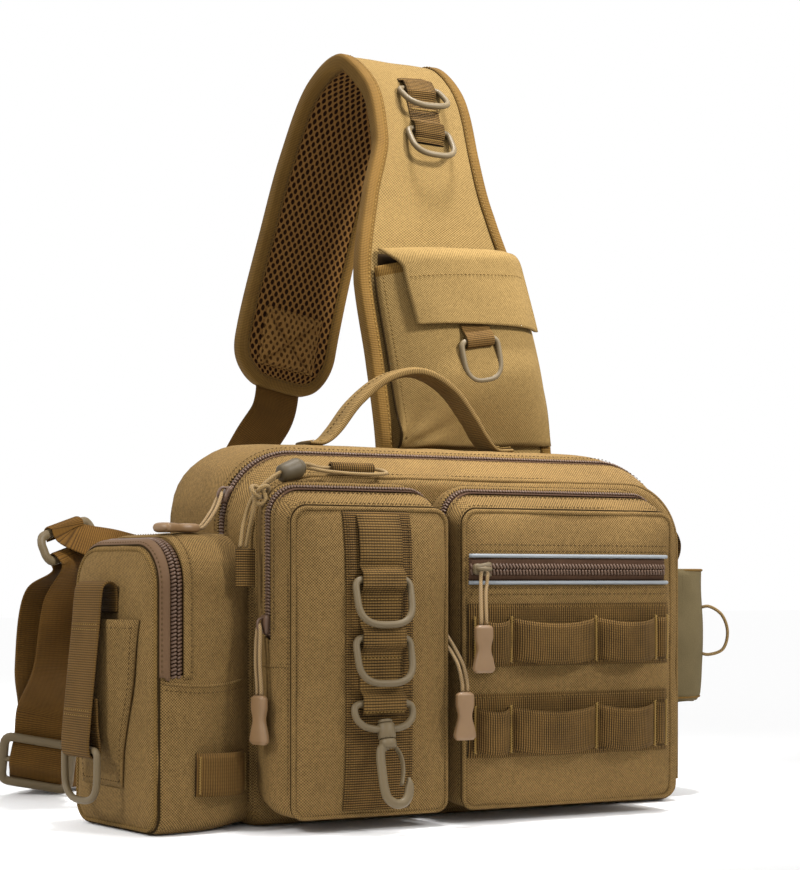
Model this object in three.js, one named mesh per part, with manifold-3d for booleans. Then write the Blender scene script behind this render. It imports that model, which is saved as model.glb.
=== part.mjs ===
import * as THREE from 'three';
import { mergeVertices } from 'three/addons/utils/BufferGeometryUtils.js';
import Module from 'manifold-3d';

const wasm = await Module();
wasm.setup();

// Sizes in millimetres. X runs along the bag, the front faces -Y and Z is up.
const clothWall = 2;
const seamGap = 0.3;
const layGap = 0.6;
const webThick = 1.6;
const zipOpening = 9.2;
const zipWidth = 8.6;
const cordRadius = 1.1;
const mainMiddle = 8;
const mainZipY = -28;
const mainZipFoot = 170;
const baseHeight = 9;
const leftTurn = 9;
const leftHinge = { x: -153, y: -62 };
const leftZipX = -201;
const leftZipFoot = 91;
const pocketZipY = -84;
const pocketZipFoot = 114;
const middlePocket = { middle: -91.8, half: 54.6 };
const rightPocket = { middle: 48.5, half: 78.5 };
const faceZip = { left: -24, right: 118, low: 146.8, high: 159.8 };
const columnX = -86.5;
const columnBars = [147, 113, 75];
const barRadius = 2.1;

const vec = (x, y, z) => new THREE.Vector3(x, y, z);
const mix = THREE.MathUtils.lerp;
const smooth = THREE.MathUtils.smoothstep;

function table(columns, rows) {
  return rows.map((row) => Object.fromEntries(columns.map((name, i) => [name, row[i]])));
}

// closed surface from points and faces, turned so that the faces look out
function solidFrom(points, faces) {
  let volume = 0;
  for (const [a, b, c] of faces) {
    volume += points[a].dot(vec(0, 0, 0).crossVectors(points[b], points[c]));
  }
  const geometry = new THREE.BufferGeometry();
  const flat = points.flatMap((point) => point.toArray());
  geometry.setAttribute('position', new THREE.Float32BufferAttribute(flat, 3));
  geometry.setIndex(volume < 0 ? faces.flatMap(([a, b, c]) => [a, c, b]) : faces.flat());
  return geometry;
}

// solid through rings that have the same number of points, fanned shut at its ends
function loft(rings, closed = false) {
  const count = rings[0].length;
  const points = rings.flat();
  const faces = [];
  const spans = closed ? rings.length : rings.length - 1;
  for (let i = 0; i < spans; i += 1) {
    const here = i * count;
    const next = ((i + 1) % rings.length) * count;
    for (let j = 0; j < count; j += 1) {
      const k = (j + 1) % count;
      faces.push([here + j, here + k, next + k], [here + j, next + k, next + j]);
    }
  }
  if (!closed) {
    const last = (rings.length - 1) * count;
    const ends = [rings[0], rings[rings.length - 1]].map((ring) => {
      const middle = vec(0, 0, 0);
      ring.forEach((point) => middle.add(point));
      return points.push(middle.divideScalar(count)) - 1;
    });
    for (let j = 0; j < count; j += 1) {
      const k = (j + 1) % count;
      faces.push([k, j, ends[0]], [last + j, last + k, ends[1]]);
    }
  }
  return solidFrom(points, faces);
}

// solid between two grids of points of the same size
function sheet(front, back) {
  const rows = front.length;
  const cols = front[0].length;
  const points = [...front.flat(), ...back.flat()];
  const under = rows * cols;
  const at = (i, j) => i * cols + j;
  const faces = [];
  for (let i = 0; i < rows - 1; i += 1) {
    for (let j = 0; j < cols - 1; j += 1) {
      const [a, b, c, d] = [at(i, j), at(i, j + 1), at(i + 1, j + 1), at(i + 1, j)];
      faces.push([a, b, c], [a, c, d]);
      faces.push([under + a, under + c, under + b], [under + a, under + d, under + c]);
    }
  }
  const rim = [];
  for (let j = 0; j < cols - 1; j += 1) {
    rim.push([at(0, j), at(0, j + 1)], [at(rows - 1, j + 1), at(rows - 1, j)]);
  }
  for (let i = 0; i < rows - 1; i += 1) {
    rim.push([at(i, cols - 1), at(i + 1, cols - 1)], [at(i + 1, 0), at(i, 0)]);
  }
  for (const [a, b] of rim) {
    faces.push([b, a, under + a], [b, under + a, under + b]);
  }
  return solidFrom(points, faces);
}

function toSolid(geometry) {
  const bare = geometry.clone();
  bare.deleteAttribute('normal');
  bare.deleteAttribute('uv');
  const merged = mergeVertices(bare, 1e-4);
  const vertProperties = new Float32Array(merged.getAttribute('position').array);
  const triVerts = new Uint32Array(merged.index.array);
  return new wasm.Manifold(new wasm.Mesh({ numProp: 3, vertProperties, triVerts }));
}

// the largest body of a solid as a geometry
function toGeometry(solid) {
  const bodies = solid.decompose().sort((a, b) => b.volume() - a.volume());
  const mesh = bodies[0].getMesh();
  const geometry = new THREE.BufferGeometry();
  geometry.setAttribute('position', new THREE.Float32BufferAttribute(mesh.vertProperties, 3));
  geometry.setIndex(Array.from(mesh.triVerts));
  return geometry;
}

function block(low, high) {
  const size = high.map((value, i) => value - low[i]);
  const middle = high.map((value, i) => (value + low[i]) / 2);
  return toSolid(new THREE.BoxGeometry(...size).translate(...middle));
}

// box set on a point, its own X, Y and Z along the given directions
function boxAt(size, at, right, out) {
  const up = vec(0, 0, 0).crossVectors(right, out);
  const basis = new THREE.Matrix4().makeBasis(right, out, up).setPosition(at);
  return toSolid(new THREE.BoxGeometry(...size).applyMatrix4(basis));
}

// outline with round corners, low ones of radius foot and high ones of radius crown
function roundedLoop({ half, low, high, foot, crown }) {
  const steps = 3;
  const corners = table(['u', 'v', 'radius', 'turn'], [
    [half - foot, low + foot, foot, -90],
    [half - crown, high - crown, crown, 0],
    [crown - half, high - crown, crown, 90],
    [foot - half, low + foot, foot, 180],
  ]);
  const loop = [];
  for (const { u, v, radius, turn } of corners) {
    for (let s = 0; s <= steps; s += 1) {
      const angle = THREE.MathUtils.degToRad(turn + (90 * s) / steps);
      loop.push([u + radius * Math.cos(angle), v + radius * Math.sin(angle)]);
    }
  }
  return loop;
}

function grown(row, by) {
  const radius = (value) => Math.max(value + by, 1);
  return {
    ...row,
    half: row.half + by,
    low: row.low - by,
    high: row.high + by,
    foot: radius(row.foot),
    crown: radius(row.crown),
  };
}

const along = {
  y: (middle) => (row) => roundedLoop(row).map(([u, v]) => vec(middle + u, row.at, v)),
  x: (row) => roundedLoop(row).map(([u, v]) => vec(row.at, row.middle + u, v)),
  z: (middle) => (row) => roundedLoop(row).map(([u, v]) => vec(middle + u, v, row.at)),
};

// round wire along a curve
function wire(curve, steps, radius, sides, closed = false) {
  const frames = curve.computeFrenetFrames(steps, closed);
  const rings = [];
  for (let i = 0; i < (closed ? steps : steps + 1); i += 1) {
    const point = curve.getPointAt(i / steps);
    const ring = [];
    for (let j = 0; j < sides; j += 1) {
      const angle = (2 * Math.PI * j) / sides;
      const spoke = frames.normals[i].clone().multiplyScalar(Math.cos(angle));
      spoke.addScaledVector(frames.binormals[i], Math.sin(angle));
      ring.push(point.clone().addScaledVector(spoke, radius));
    }
    rings.push(ring);
  }
  return loft(rings, closed);
}

// flat webbing along a curve; across gives the direction of its width
function strip(curve, steps, across, width, thick = webThick) {
  const rings = [];
  for (let i = 0; i <= steps; i += 1) {
    const t = i / steps;
    const side = across(t).normalize();
    const tangent = curve.getTangent(t);
    side.addScaledVector(tangent, -side.dot(tangent)).normalize();
    const normal = vec(0, 0, 0).crossVectors(side, tangent);
    const corners = [[-1, -1], [1, -1], [1, 1], [-1, 1]];
    rings.push(corners.map(([a, b]) => curve.getPoint(t)
      .addScaledVector(side, (a * width) / 2)
      .addScaledVector(normal, (b * thick) / 2)));
  }
  return loft(rings);
}

// first point of a solid met by a line from outside
function meets(geometry, direction) {
  const target = new THREE.Mesh(geometry, new THREE.MeshBasicMaterial({ side: THREE.DoubleSide }));
  target.updateMatrixWorld();
  const caster = new THREE.Raycaster();
  return (from) => {
    caster.set(from, direction);
    const hits = caster.intersectObject(target);
    return hits[0].point;
  };
}

// cloth or webbing laid on a surface, raised off it by lift(u, v)
function laid({ onto, from, out, rows, cols, lift, thick = webThick }) {
  const front = [];
  const back = [];
  for (let i = 0; i <= rows; i += 1) {
    front.push([]);
    back.push([]);
    for (let j = 0; j <= cols; j += 1) {
      const u = i / rows;
      const v = j / cols;
      const foot = onto(from(u, v));
      const raise = lift(u, v);
      back[i].push(foot.clone().addScaledVector(out, raise));
      front[i].push(foot.clone().addScaledVector(out, raise + thick));
    }
  }
  return sheet(front, back);
}

// wire bent to a D: a straight bar on its own X, its bow hanging below
function ringCurve(width, height) {
  const radius = 4;
  const bow = width / 2;
  const drop = height * 0.6;
  const squared = (value) => Math.sign(value) * Math.pow(Math.abs(value), 0.7);
  const points = [];
  const arc = (x, z, r, start, end, steps) => {
    for (let i = 0; i <= steps; i += 1) {
      const angle = THREE.MathUtils.degToRad(mix(start, end, i / steps));
      points.push(vec(x + r * Math.cos(angle), 0, z + r * Math.sin(angle)));
    }
  };
  arc(bow - radius, -radius, radius, 90, 0, 2);
  for (let i = 0; i <= 8; i += 1) {
    const angle = (Math.PI * i) / 8;
    points.push(vec(bow * squared(Math.cos(angle)), 0, drop - height - drop * squared(Math.sin(angle))));
  }
  arc(radius - bow, -radius, radius, 180, 90, 2);
  points.push(vec(0, 0, 0));
  return new THREE.CatmullRomCurve3(points, true, 'catmullrom', 0.35);
}

// place for a ring: bar at a point, along right, its bow towards down
function seat(at, right, down) {
  const up = down.clone().negate().addScaledVector(right, right.dot(down)).normalize();
  const out = vec(0, 0, 0).crossVectors(up, right);
  return new THREE.Matrix4().makeBasis(right, out, up).setPosition(at);
}

function dRing(width, height, place) {
  return wire(ringCurve(width, height), 17, barRadius, 6, true).applyMatrix4(place);
}

const looks = table(['name', 'colour', 'roughness'], [
  ['cloth', 0x9a7847, 0.85],
  ['webbing', 0x7b5a2c, 0.85],
  ['moulding', 0x9a8668, 0.5],
  ['zip', 0x5c4234, 0.6],
  ['lining', 0x5a3f26, 0.9],
  ['trim', 0x8f969c, 0.6],
  ['loop_cloth', 0x6f6546, 0.95],
  ['cord', 0x8a7450, 0.8],
  ['pull', 0xa8835c, 0.55],
]);
const materials = Object.fromEntries(looks.map(({ name, colour, roughness }) => {
  const material = new THREE.MeshStandardMaterial({ color: colour, roughness, metalness: 0 });
  material.name = name;
  return [name, material];
}));

const bag = new THREE.Group();
bag.name = 'fishing_bag';
function add(name, geometry, look) {
  const mesh = new THREE.Mesh(geometry, materials[look]);
  mesh.name = name;
  bag.add(mesh);
}

// Main compartment: a cloth box with round shoulders, higher behind than in front.
const mainRows = table(['at', 'half', 'low', 'high', 'foot', 'crown', 'sink'], [
  [-64, 60, 60, 150, 20, 20, 2],
  [-64, 149, 6, 205, 8, 36, 2],
  [-61, 154, 2, 209, 10, 40, 0.5],
  [-50, 157, 0, 215, 10, 43, 0],
  [-28, 160, 0, 226, 10, 46, 0],
  [6, 161, 0, 233, 10, 48, 0],
  [44, 161, 0, 234, 10, 46, 0],
  [58, 158, 2, 229, 10, 44, 0],
  [63, 153, 8, 221, 10, 38, -2],
  [65, 60, 60, 150, 20, 20, -2],
]);
const mainRing = along.y(mainMiddle);
const mainOuter = loft(mainRows.map(mainRing));
const innerRows = mainRows.map((row) => ({ ...grown(row, -clothWall), at: row.at + row.sink }));
const mainInner = loft(innerRows.map(mainRing));
const clearRows = mainRows.map((row) => ({
  ...grown(row, seamGap),
  at: row.at + Math.sign(row.at) * seamGap,
}));
const mainClear = toSolid(loft(clearRows.map(mainRing)));
const mainShell = toSolid(mainOuter).subtract(toSolid(mainInner));
const zipBox = (y, width, foot, reach) => block([-reach, y - width / 2, foot], [reach, y + width / 2, 300]);
const mainBand = mainShell.intersect(zipBox(mainZipY, zipWidth, mainZipFoot + seamGap, 200));
const mainRest = mainShell.subtract(zipBox(mainZipY, zipOpening, mainZipFoot, 200));
const seamHalf = seamGap / 2;
add('base_panel', toGeometry(mainShell.intersect(block([-200, -90, -1], [200, 90, baseHeight]))), 'cloth');
const aboveBase = baseHeight + seamGap;
const frontHalf = block([-200, -90, aboveBase], [200, mainZipY - seamHalf, 300]);
const backHalf = block([-200, mainZipY + seamHalf, aboveBase], [200, 90, 300]);
add('main_front', toGeometry(mainRest.intersect(frontHalf)), 'cloth');
add('main_back', toGeometry(mainRest.intersect(backHalf)), 'cloth');

const shoulder = THREE.MathUtils.degToRad(27);
const shoulderOut = vec(-Math.cos(shoulder), 0, Math.sin(shoulder));
const mainSlider = boxAt([7, 5, 11], vec(-147.2, mainZipY, 197.6), vec(0, -1, 0), shoulderOut);
add('main_zip', toGeometry(mainBand.add(mainSlider)), 'zip');

// Left end pocket, modelled square to the bag and then turned a little to the front.
const leftRows = table(['at', 'front', 'back', 'low', 'high', 'foot', 'crown', 'sink'], [
  [-128, -54, 26, 3, 174, 12, 30, 0],
  [-150, -60, 29, 2, 175, 12, 32, 0],
  [-162, -66, 31, 1, 176, 14, 34, 0],
  [-182, -69, 33, 0, 175, 16, 35, 0],
  [-198, -69, 32, 0, 171.5, 16, 35, 0],
  [-209, -66, 29, 1, 166, 16, 33, 0],
  [-213, -62, 25, 5, 160, 16, 31, 1.5],
  [-216.5, -46, 9, 26, 136, 14, 24, 2],
  [-218, -28, -9, 56, 106, 8, 8, 2],
]).map((row) => ({ ...row, half: (row.back - row.front) / 2, middle: (row.back + row.front) / 2 }));
const leftOuter = loft(leftRows.map(along.x));
const leftInner = loft([{ ...grown(leftRows[0], -clothWall), at: -100 },
  ...leftRows.map((row) => ({ ...grown(row, -clothWall), at: row.at + row.sink }))].map(along.x));
const turned = new THREE.Matrix4().makeTranslation(leftHinge.x, leftHinge.y, 0)
  .multiply(new THREE.Matrix4().makeRotationZ(THREE.MathUtils.degToRad(leftTurn)))
  .multiply(new THREE.Matrix4().makeTranslation(-leftHinge.x, -leftHinge.y, 0));
const turn = (geometry) => geometry.applyMatrix4(turned);
const leftShell = toSolid(turn(leftOuter.clone())).subtract(toSolid(turn(leftInner)));
const leftSlot = (width, foot) => toSolid(turn(
  new THREE.BoxGeometry(width, 300, 300).translate(leftZipX, 0, foot + 150),
));
const behindLeft = block([-158, 36, 0], [-110, 60, 200]);
add('left_pocket', toGeometry(leftShell.subtract(leftSlot(zipOpening, leftZipFoot)).subtract(mainClear)
  .subtract(behindLeft)), 'cloth');
add('left_zip', toGeometry(leftShell.intersect(leftSlot(zipWidth, leftZipFoot + seamGap))), 'zip');

const ontoEnd = meets(leftOuter, vec(1, 0, 0));
const ontoSide = meets(leftOuter, vec(0, 1, 0));
const left = vec(-1, 0, 0);
const ahead = vec(0, -1, 0);
const sleeve = { top: 124, low: 26, frontTop: -54, frontLow: -36, backTop: 20, backLow: 14 };
add('left_sleeve', turn(laid({
  onto: ontoEnd,
  from: (u, v) => {
    const y = mix(mix(sleeve.frontLow, sleeve.frontTop, v), mix(sleeve.backLow, sleeve.backTop, v), u);
    return vec(-300, y, mix(sleeve.low, sleeve.top, v));
  },
  out: left,
  rows: 7,
  cols: 4,
  lift: (u, v) => layGap + 7 * Math.pow(Math.sin(Math.PI * u), 0.7) * smooth(v, 0, 0.35),
  thick: 1.5,
})), 'cloth');

const hangerY = -14;
const hangerBar = vec(-233.5, hangerY, 48);
const hangerFoot = (z) => ontoEnd(vec(-300, hangerY, z)).addScaledVector(left, layGap + webThick / 2);
const hangerPath = new THREE.CatmullRomCurve3([
  hangerFoot(128), hangerFoot(138), vec(-221, hangerY, 145), vec(-230, hangerY, 142),
  vec(-234.6, hangerY, 126),
  vec(-235.6, hangerY, 90), vec(-236.4, hangerY, 62), vec(-237.2, hangerY, 50), vec(-236.2, hangerY, 45),
  vec(-233.4, hangerY, 43.8), vec(-230.6, hangerY, 45.2), vec(-229.8, hangerY, 49),
  vec(-231.2, hangerY, 62), vec(-231.8, hangerY, 78),
]);
add('left_hanger', turn(strip(hangerPath, 24, () => vec(0, 1, 0), 28)), 'webbing');
const leftRingPlace = turned.clone().multiply(seat(hangerBar, vec(0, -1, 0), vec(0, 0, -1)));
add('left_ring', dRing(40, 30, leftRingPlace), 'moulding');

const toolLoop = { left: -189, right: -152, low: 22, high: 47 };
add('tool_loop', turn(laid({
  onto: ontoSide,
  from: (u, v) => vec(mix(toolLoop.left, toolLoop.right, u), -200, mix(toolLoop.low, toolLoop.high, v)),
  out: ahead,
  rows: 12,
  cols: 1,
  lift: (u) => seamGap + 9 * Math.pow(Math.sin(Math.PI * u), 0.6),
})), 'webbing');

// Front pockets share one profile from the bag out to the middle of the front panel.
const pocketRows = table(['at', 'inset', 'low', 'high', 'foot', 'crown', 'sink'], [
  [-60, 3.5, 18, 202, 10, 18, 0],
  [-74, 0.8, 12, 205, 12, 20, 0],
  [-84, 0, 10, 202, 12, 20, 0],
  [-98, 0.5, 9, 193, 10, 15, 0],
  [-104, 1.5, 10, 187.5, 8, 11, 1],
  [-106.5, 6, 14, 183, 8, 11, 2],
  [-109.5, 20, 36, 164, 10, 12, 2],
  [-110.5, 34, 68, 132, 8, 8, 2],
]);
function frontPocket({ middle, half }) {
  const ring = along.y(middle);
  const rows = pocketRows.map((row) => ({ ...row, half: half - row.inset }));
  const outer = loft(rows.map(ring));
  const inner = loft([{ ...grown(rows[0], -clothWall), at: -50 },
    ...rows.map((row) => ({ ...grown(row, -clothWall), at: row.at + row.sink }))].map(ring));
  const shell = toSolid(outer).subtract(toSolid(inner)).subtract(mainClear);
  const body = shell.subtract(zipBox(pocketZipY, zipOpening, pocketZipFoot, 200));
  const zip = shell.intersect(zipBox(pocketZipY, zipWidth, pocketZipFoot + seamGap, 200));
  return { outer, shell, body, zip, onto: meets(outer, vec(0, 1, 0)) };
}
const middle = frontPocket(middlePocket);
const right = frontPocket(rightPocket);
const sideSlider = (x, z, out) => boxAt([7, 5, 11], vec(x, pocketZipY, z), vec(0, -1, 0), vec(out, 0, 0));
const middleEdge = middlePocket.middle - middlePocket.half;
const rightEdge = rightPocket.middle - rightPocket.half;
add('middle_pocket', toGeometry(middle.body), 'cloth');
add('middle_zip', toGeometry(middle.zip.add(sideSlider(middleEdge - 1, 121, -1))), 'zip');
const faceBox = (gap) => block(
  [faceZip.left + gap, -130, faceZip.low + gap],
  [faceZip.right - gap, -95, faceZip.high - gap],
);
add('right_pocket', toGeometry(right.body.subtract(faceBox(0))), 'cloth');
add('right_zip', toGeometry(right.zip.add(sideSlider(rightEdge - 1, 121, -1))), 'zip');
const faceMiddle = (faceZip.low + faceZip.high) / 2;
const faceSliderAt = right.onto(vec(-17, -200, faceMiddle)).add(vec(0, -1, 0));
const faceSlider = boxAt([11, 5, 7], faceSliderAt, vec(1, 0, 0), ahead);
add('face_zip', toGeometry(right.shell.intersect(faceBox(seamGap)).add(faceSlider)), 'zip');

const onRight = (left, right, low, high) => (u, v) => vec(mix(left, right, u), -200, mix(low, high, v));
const flatLift = () => layGap;
const loopEnds = { left: -24, right: 120 };
const pipings = table(['name', 'low', 'high'], [
  ['face_piping_upper', faceZip.high + 0.4, faceZip.high + 2.8],
  ['face_piping_lower', faceZip.low - 2.8, faceZip.low - 0.4],
]);
for (const { name, low, high } of pipings) {
  add(name, laid({
    onto: right.onto,
    from: onRight(loopEnds.left, loopEnds.right, low, high),
    out: ahead,
    rows: 8,
    cols: 1,
    lift: flatLift,
    thick: 2,
  }), 'trim');
}

// Two rows of loop webbing: a flat base and a narrower webbing tacked down on it.
const loopRows = table(['name', 'baseLow', 'baseHigh', 'low', 'high'], [
  ['upper', 94.5, 132.5, 98.5, 123.5],
  ['lower', 39.5, 78, 44, 70],
]);
const tacks = table(['from', 'to', 'rise'], [
  [-22, 2, 6],
  [2, 63, 7.5],
  [63, 108, 7],
  [108, 119, 0.8],
]);
const tackRise = (x) => {
  const span = tacks.find(({ from, to }) => x >= from && x <= to);
  const way = Math.sin(Math.PI * ((x - span.from) / (span.to - span.from)));
  return span.rise * Math.pow(Math.max(way, 0), 0.55);
};
for (const { name, baseLow, baseHigh, low, high } of loopRows) {
  add(`loop_base_${name}`, laid({
    onto: right.onto,
    from: onRight(loopEnds.left, loopEnds.right, baseLow, baseHigh),
    out: ahead,
    rows: 12,
    cols: 2,
    lift: flatLift,
    thick: 1.2,
  }), 'webbing');
  const loopX = (u) => mix(tacks[0].from, tacks[tacks.length - 1].to, u);
  add(`loop_webbing_${name}`, laid({
    onto: right.onto,
    from: (u, v) => vec(loopX(u), -200, mix(low, high, v)),
    out: ahead,
    rows: 26,
    cols: 1,
    lift: (u) => 1.2 + layGap + seamGap + tackRise(loopX(u)),
    thick: 1.4,
  }), 'webbing');
}

// Webbing column on the middle pocket with two rings and the eye of the hook.
const columnBase = { half: 20.5, low: 20, high: 181, thick: 1.3 };
add('column_base', laid({
  onto: middle.onto,
  from: (u, v) => {
    const z = mix(columnBase.low, columnBase.high, v);
    return vec(columnX + mix(-1, 1, u) * columnBase.half, -200, z);
  },
  out: ahead,
  rows: 3,
  cols: 12,
  lift: flatLift,
  thick: columnBase.thick,
}), 'webbing');
const columnFlat = columnBase.thick + layGap + seamGap;
const barOffset = columnFlat + barRadius + seamGap;
const overBar = 2 * (barRadius + seamGap) + 0.3;
const columnLift = (z) => {
  const near = Math.min(...columnBars.map((bar) => Math.abs(z - bar)));
  const hung = 2.2 * smooth(z, 156, 166) * (1 - smooth(z, 170, 180));
  return columnFlat + overBar * (1 - smooth(near, 3.2, 9)) + hung;
};
add('column_webbing', laid({
  onto: middle.onto,
  from: (u, v) => vec(columnX + mix(-14, 14, u), -200, mix(68, 180, v)),
  out: ahead,
  rows: 1,
  cols: 28,
  lift: (u, v) => columnLift(mix(68, 180, v)),
}), 'webbing');
const columnPlace = (z, lean) => {
  const at = middle.onto(vec(columnX, -200, z)).addScaledVector(ahead, barOffset);
  return seat(at, vec(1, 0, 0), vec(0, -Math.sin(lean), -Math.cos(lean)));
};
add('column_ring_upper', dRing(35.5, 27, columnPlace(columnBars[0], 0.26)), 'moulding');
add('column_ring_lower', dRing(35.5, 27, columnPlace(columnBars[1], 0.26)), 'moulding');

// Snap hook: an eye with a bored block, and a hook whose neck turns in it.
const hookLean = 0.27;
const eyePlace = columnPlace(columnBars[2], hookLean);
const eyeSize = { width: 38, height: 15 };
const eyeDrop = eyeSize.height - 2;
const tube = (radius, from, to) => toSolid(new THREE.CylinderGeometry(radius, radius, from - to, 8)
  .rotateX(Math.PI / 2).translate(0, 0, (from + to) / 2));
function eyeCurve({ width, height }) {
  const rows = table(['x', 'z'], [
    [0, 0], [0.36, 0], [0.47, -0.08], [0.5, -0.3], [0.47, -0.62], [0.36, -0.88], [0.2, -1], [0, -1.02],
  ]);
  const side = rows.map(({ x, z }) => vec(x * width, 0, z * height));
  const other = rows.slice(1, -1).reverse().map(({ x, z }) => vec(-x * width, 0, z * height));
  return new THREE.CatmullRomCurve3([...side, ...other], true, 'catmullrom', 0.4);
}
const eyeWire = toSolid(wire(eyeCurve(eyeSize), 18, barRadius, 6, true));
const eyeBlock = tube(5.2, -eyeDrop + 1, -eyeDrop - 8);
const eyeBore = tube(3.2, -eyeDrop + 6, -eyeDrop - 12);
add('hook_eye', toGeometry(eyeWire.add(eyeBlock).subtract(eyeBore)).applyMatrix4(eyePlace), 'moulding');
const neckTop = -eyeDrop + 1.3;
const neckFoot = -eyeDrop - 8.3;
const hookRows = table(['x', 'z'], [
  [0, -3], [-4.6, -5.5], [-5.8, -11], [-6, -20], [-5.8, -28.5], [-4.2, -34.5], [0.5, -37.8],
  [5.5, -37.2], [9, -33.5], [10.6, -28], [10.8, -23],
]);
const hookWire = new THREE.CatmullRomCurve3(hookRows.map(({ x, z }) => vec(x, 0, neckFoot + z)));
const gateRows = table(['x', 'z'], [
  [3, -3], [6.6, -8], [8, -14], [7.4, -21], [5.6, -27],
]);
const gateWire = new THREE.CatmullRomCurve3(gateRows.map(({ x, z }) => vec(x, 0, neckFoot + z)));
const hookSolid = tube(2.9, neckTop + 2, neckFoot - 1).add(tube(4.2, neckTop + 2, neckTop))
  .add(tube(5, neckFoot, neckFoot - 5))
  .add(toSolid(wire(hookWire, 15, 2.5, 6)))
  .add(toSolid(wire(gateWire, 6, 0.9, 6)));
add('snap_hook', toGeometry(hookSolid).applyMatrix4(eyePlace), 'moulding');

// Right end: a pouch with a rounded outer wall, a webbing tab and an elastic loop.
const pouchRows = table(['at', 'half', 'low', 'high', 'foot', 'crown', 'sink'], [
  [64, 32, -38, 52, 26, 26, 2],
  [68, 35, -42, 57, 32, 32, 0],
  [112, 37, -44, 59, 34, 34, 0],
  [154, 36, -43, 58, 33, 33, 3],
]);
const pouchRing = along.z(177);
const pouchInner = pouchRows.map((row) => pouchRing({ ...grown(row, -clothWall), at: row.at + row.sink }));
const pouchOuter = loft(pouchRows.map(pouchRing));
const pouchShell = toSolid(pouchOuter).subtract(toSolid(loft(pouchInner)));
add('end_pouch', toGeometry(pouchShell.subtract(mainClear)), 'loop_cloth');
const ontoRightEnd = meets(mainOuter, vec(-1, 0, 0));
add('end_tab', laid({
  onto: ontoRightEnd,
  from: (u, v) => vec(300, mix(-50, -38, v), mix(155, 184, u)),
  out: vec(1, 0, 0),
  rows: 8,
  cols: 1,
  lift: (u) => seamGap + 8 * Math.pow(Math.sin(Math.PI * u), 0.7),
}), 'webbing');
const cornerIn = vec(-1, 1, 0).normalize();
const ontoCorner = meets(pouchOuter, cornerIn);
const fromCorner = (z, away) => ontoCorner(vec(214, -44, z)).addScaledVector(cornerIn, -away);
const endCord = new THREE.CatmullRomCurve3([
  fromCorner(128, 0.4), fromCorner(128.6, 5), vec(214, -42, 123), vec(218, -43.6, 111), vec(215, -42, 99),
  fromCorner(95.4, 5), fromCorner(96, 0.4),
]);
add('end_cord', wire(endCord, 12, cordRadius, 8), 'cord');

// Sling strap: a row per station from its foot on the bag's back, over the top, to its far end.
const strapRows = table(['x', 'y', 'z', 'half'], [
  [76, 71.2, 192, 69],
  [76, 72.2, 242, 69],
  [68, 77, 305, 67],
  [59, 83.5, 360, 64],
  [58, 93, 410, 52],
  [62, 105, 457, 41],
  [62, 125, 501, 40],
  [56, 155, 523, 41],
  [48, 186, 508, 41],
  [37, 211, 460, 40],
  [26, 226, 400, 40],
  [14, 233, 340, 41],
  [8, 235, 304, 35],
  [5, 235, 290, 18],
]);
const strapCurve = new THREE.CatmullRomCurve3(strapRows.map(({ x, y, z }) => vec(x, y, z)));
const halfCurve = new THREE.CatmullRomCurve3(strapRows.map(({ half }) => vec(half, 0, 0)));
const strapWidth = (s) => halfCurve.getPoint(s).x;
const strapSide = (s) => {
  const tangent = strapCurve.getTangent(s);
  return vec(1, 0, 0).addScaledVector(tangent, -tangent.x).normalize();
};
const strapOut = (s) => vec(0, 0, 0).crossVectors(strapSide(s), strapCurve.getTangent(s));
// point of the strap: s along it, across in mm from its middle, lift in mm off its middle layer
const strapPoint = (s, across, lift) => strapCurve.getPoint(s)
  .addScaledVector(strapSide(s), across)
  .addScaledVector(strapOut(s), lift);
const strapAt = (z) => {
  let [low, high] = [0, 0.5];
  for (let i = 0; i < 40; i += 1) {
    const half = (low + high) / 2;
    if (strapCurve.getPoint(half).z < z) {
      low = half;
    } else {
      high = half;
    }
  }
  return low;
};
const strapSteps = 24;
function strapLayer(low, high) {
  const cols = 2;
  const edge = 2.2;
  const grid = (lift) => Array.from({ length: strapSteps + 1 }, (_, i) => {
    const s = THREE.MathUtils.clamp(i / strapSteps, 0.002, 0.988);
    return Array.from({ length: cols + 1 }, (_, j) => {
      const v = mix(-1, 1, j / cols);
      return strapPoint(s, v * (strapWidth(s) - edge), lift);
    });
  });
  return sheet(grid(high), grid(low));
}
add('strap_pad', strapLayer(-1.6, 4.4), 'cloth');
add('strap_mesh', strapLayer(-4.4, -1.9), 'lining');

const bindRun = Array.from({ length: strapSteps + 1 }, (_, i) => {
  const s = i / strapSteps;
  return [s, strapWidth(s)];
});
const bindPath = [...bindRun.map(([s, half]) => [s, -half]), ...bindRun.reverse()];
const bindProfile = table(['inset', 'lift', 'innerInset', 'innerLift'], [
  [9, 6, 9, 5.2],
  [0, 6, 1.2, 5.2],
  [0, -6, 1.2, -5.2],
  [9, -6, 9, -5.2],
]);
const bindGrid = (insetName, liftName) => bindPath.map(([s, across], i) => {
  const at = ([when, side]) => strapPoint(when, side, 0);
  const before = at(bindPath[Math.max(i - 1, 0)]);
  const after = at(bindPath[Math.min(i + 1, bindPath.length - 1)]);
  const run = after.sub(before).normalize();
  const normal = strapOut(s);
  const inward = vec(0, 0, 0).crossVectors(normal, run).normalize();
  const edge = strapPoint(s, across, 0);
  const inner = strapPoint(s, 0, 0).sub(edge);
  if (inward.dot(inner) < 0) {
    inward.negate();
  }
  return bindProfile.map((row) => edge.clone().addScaledVector(inward, row[insetName])
    .addScaledVector(normal, row[liftName]));
});
add('strap_binding', sheet(bindGrid('inset', 'lift'), bindGrid('innerInset', 'innerLift')), 'webbing');

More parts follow.
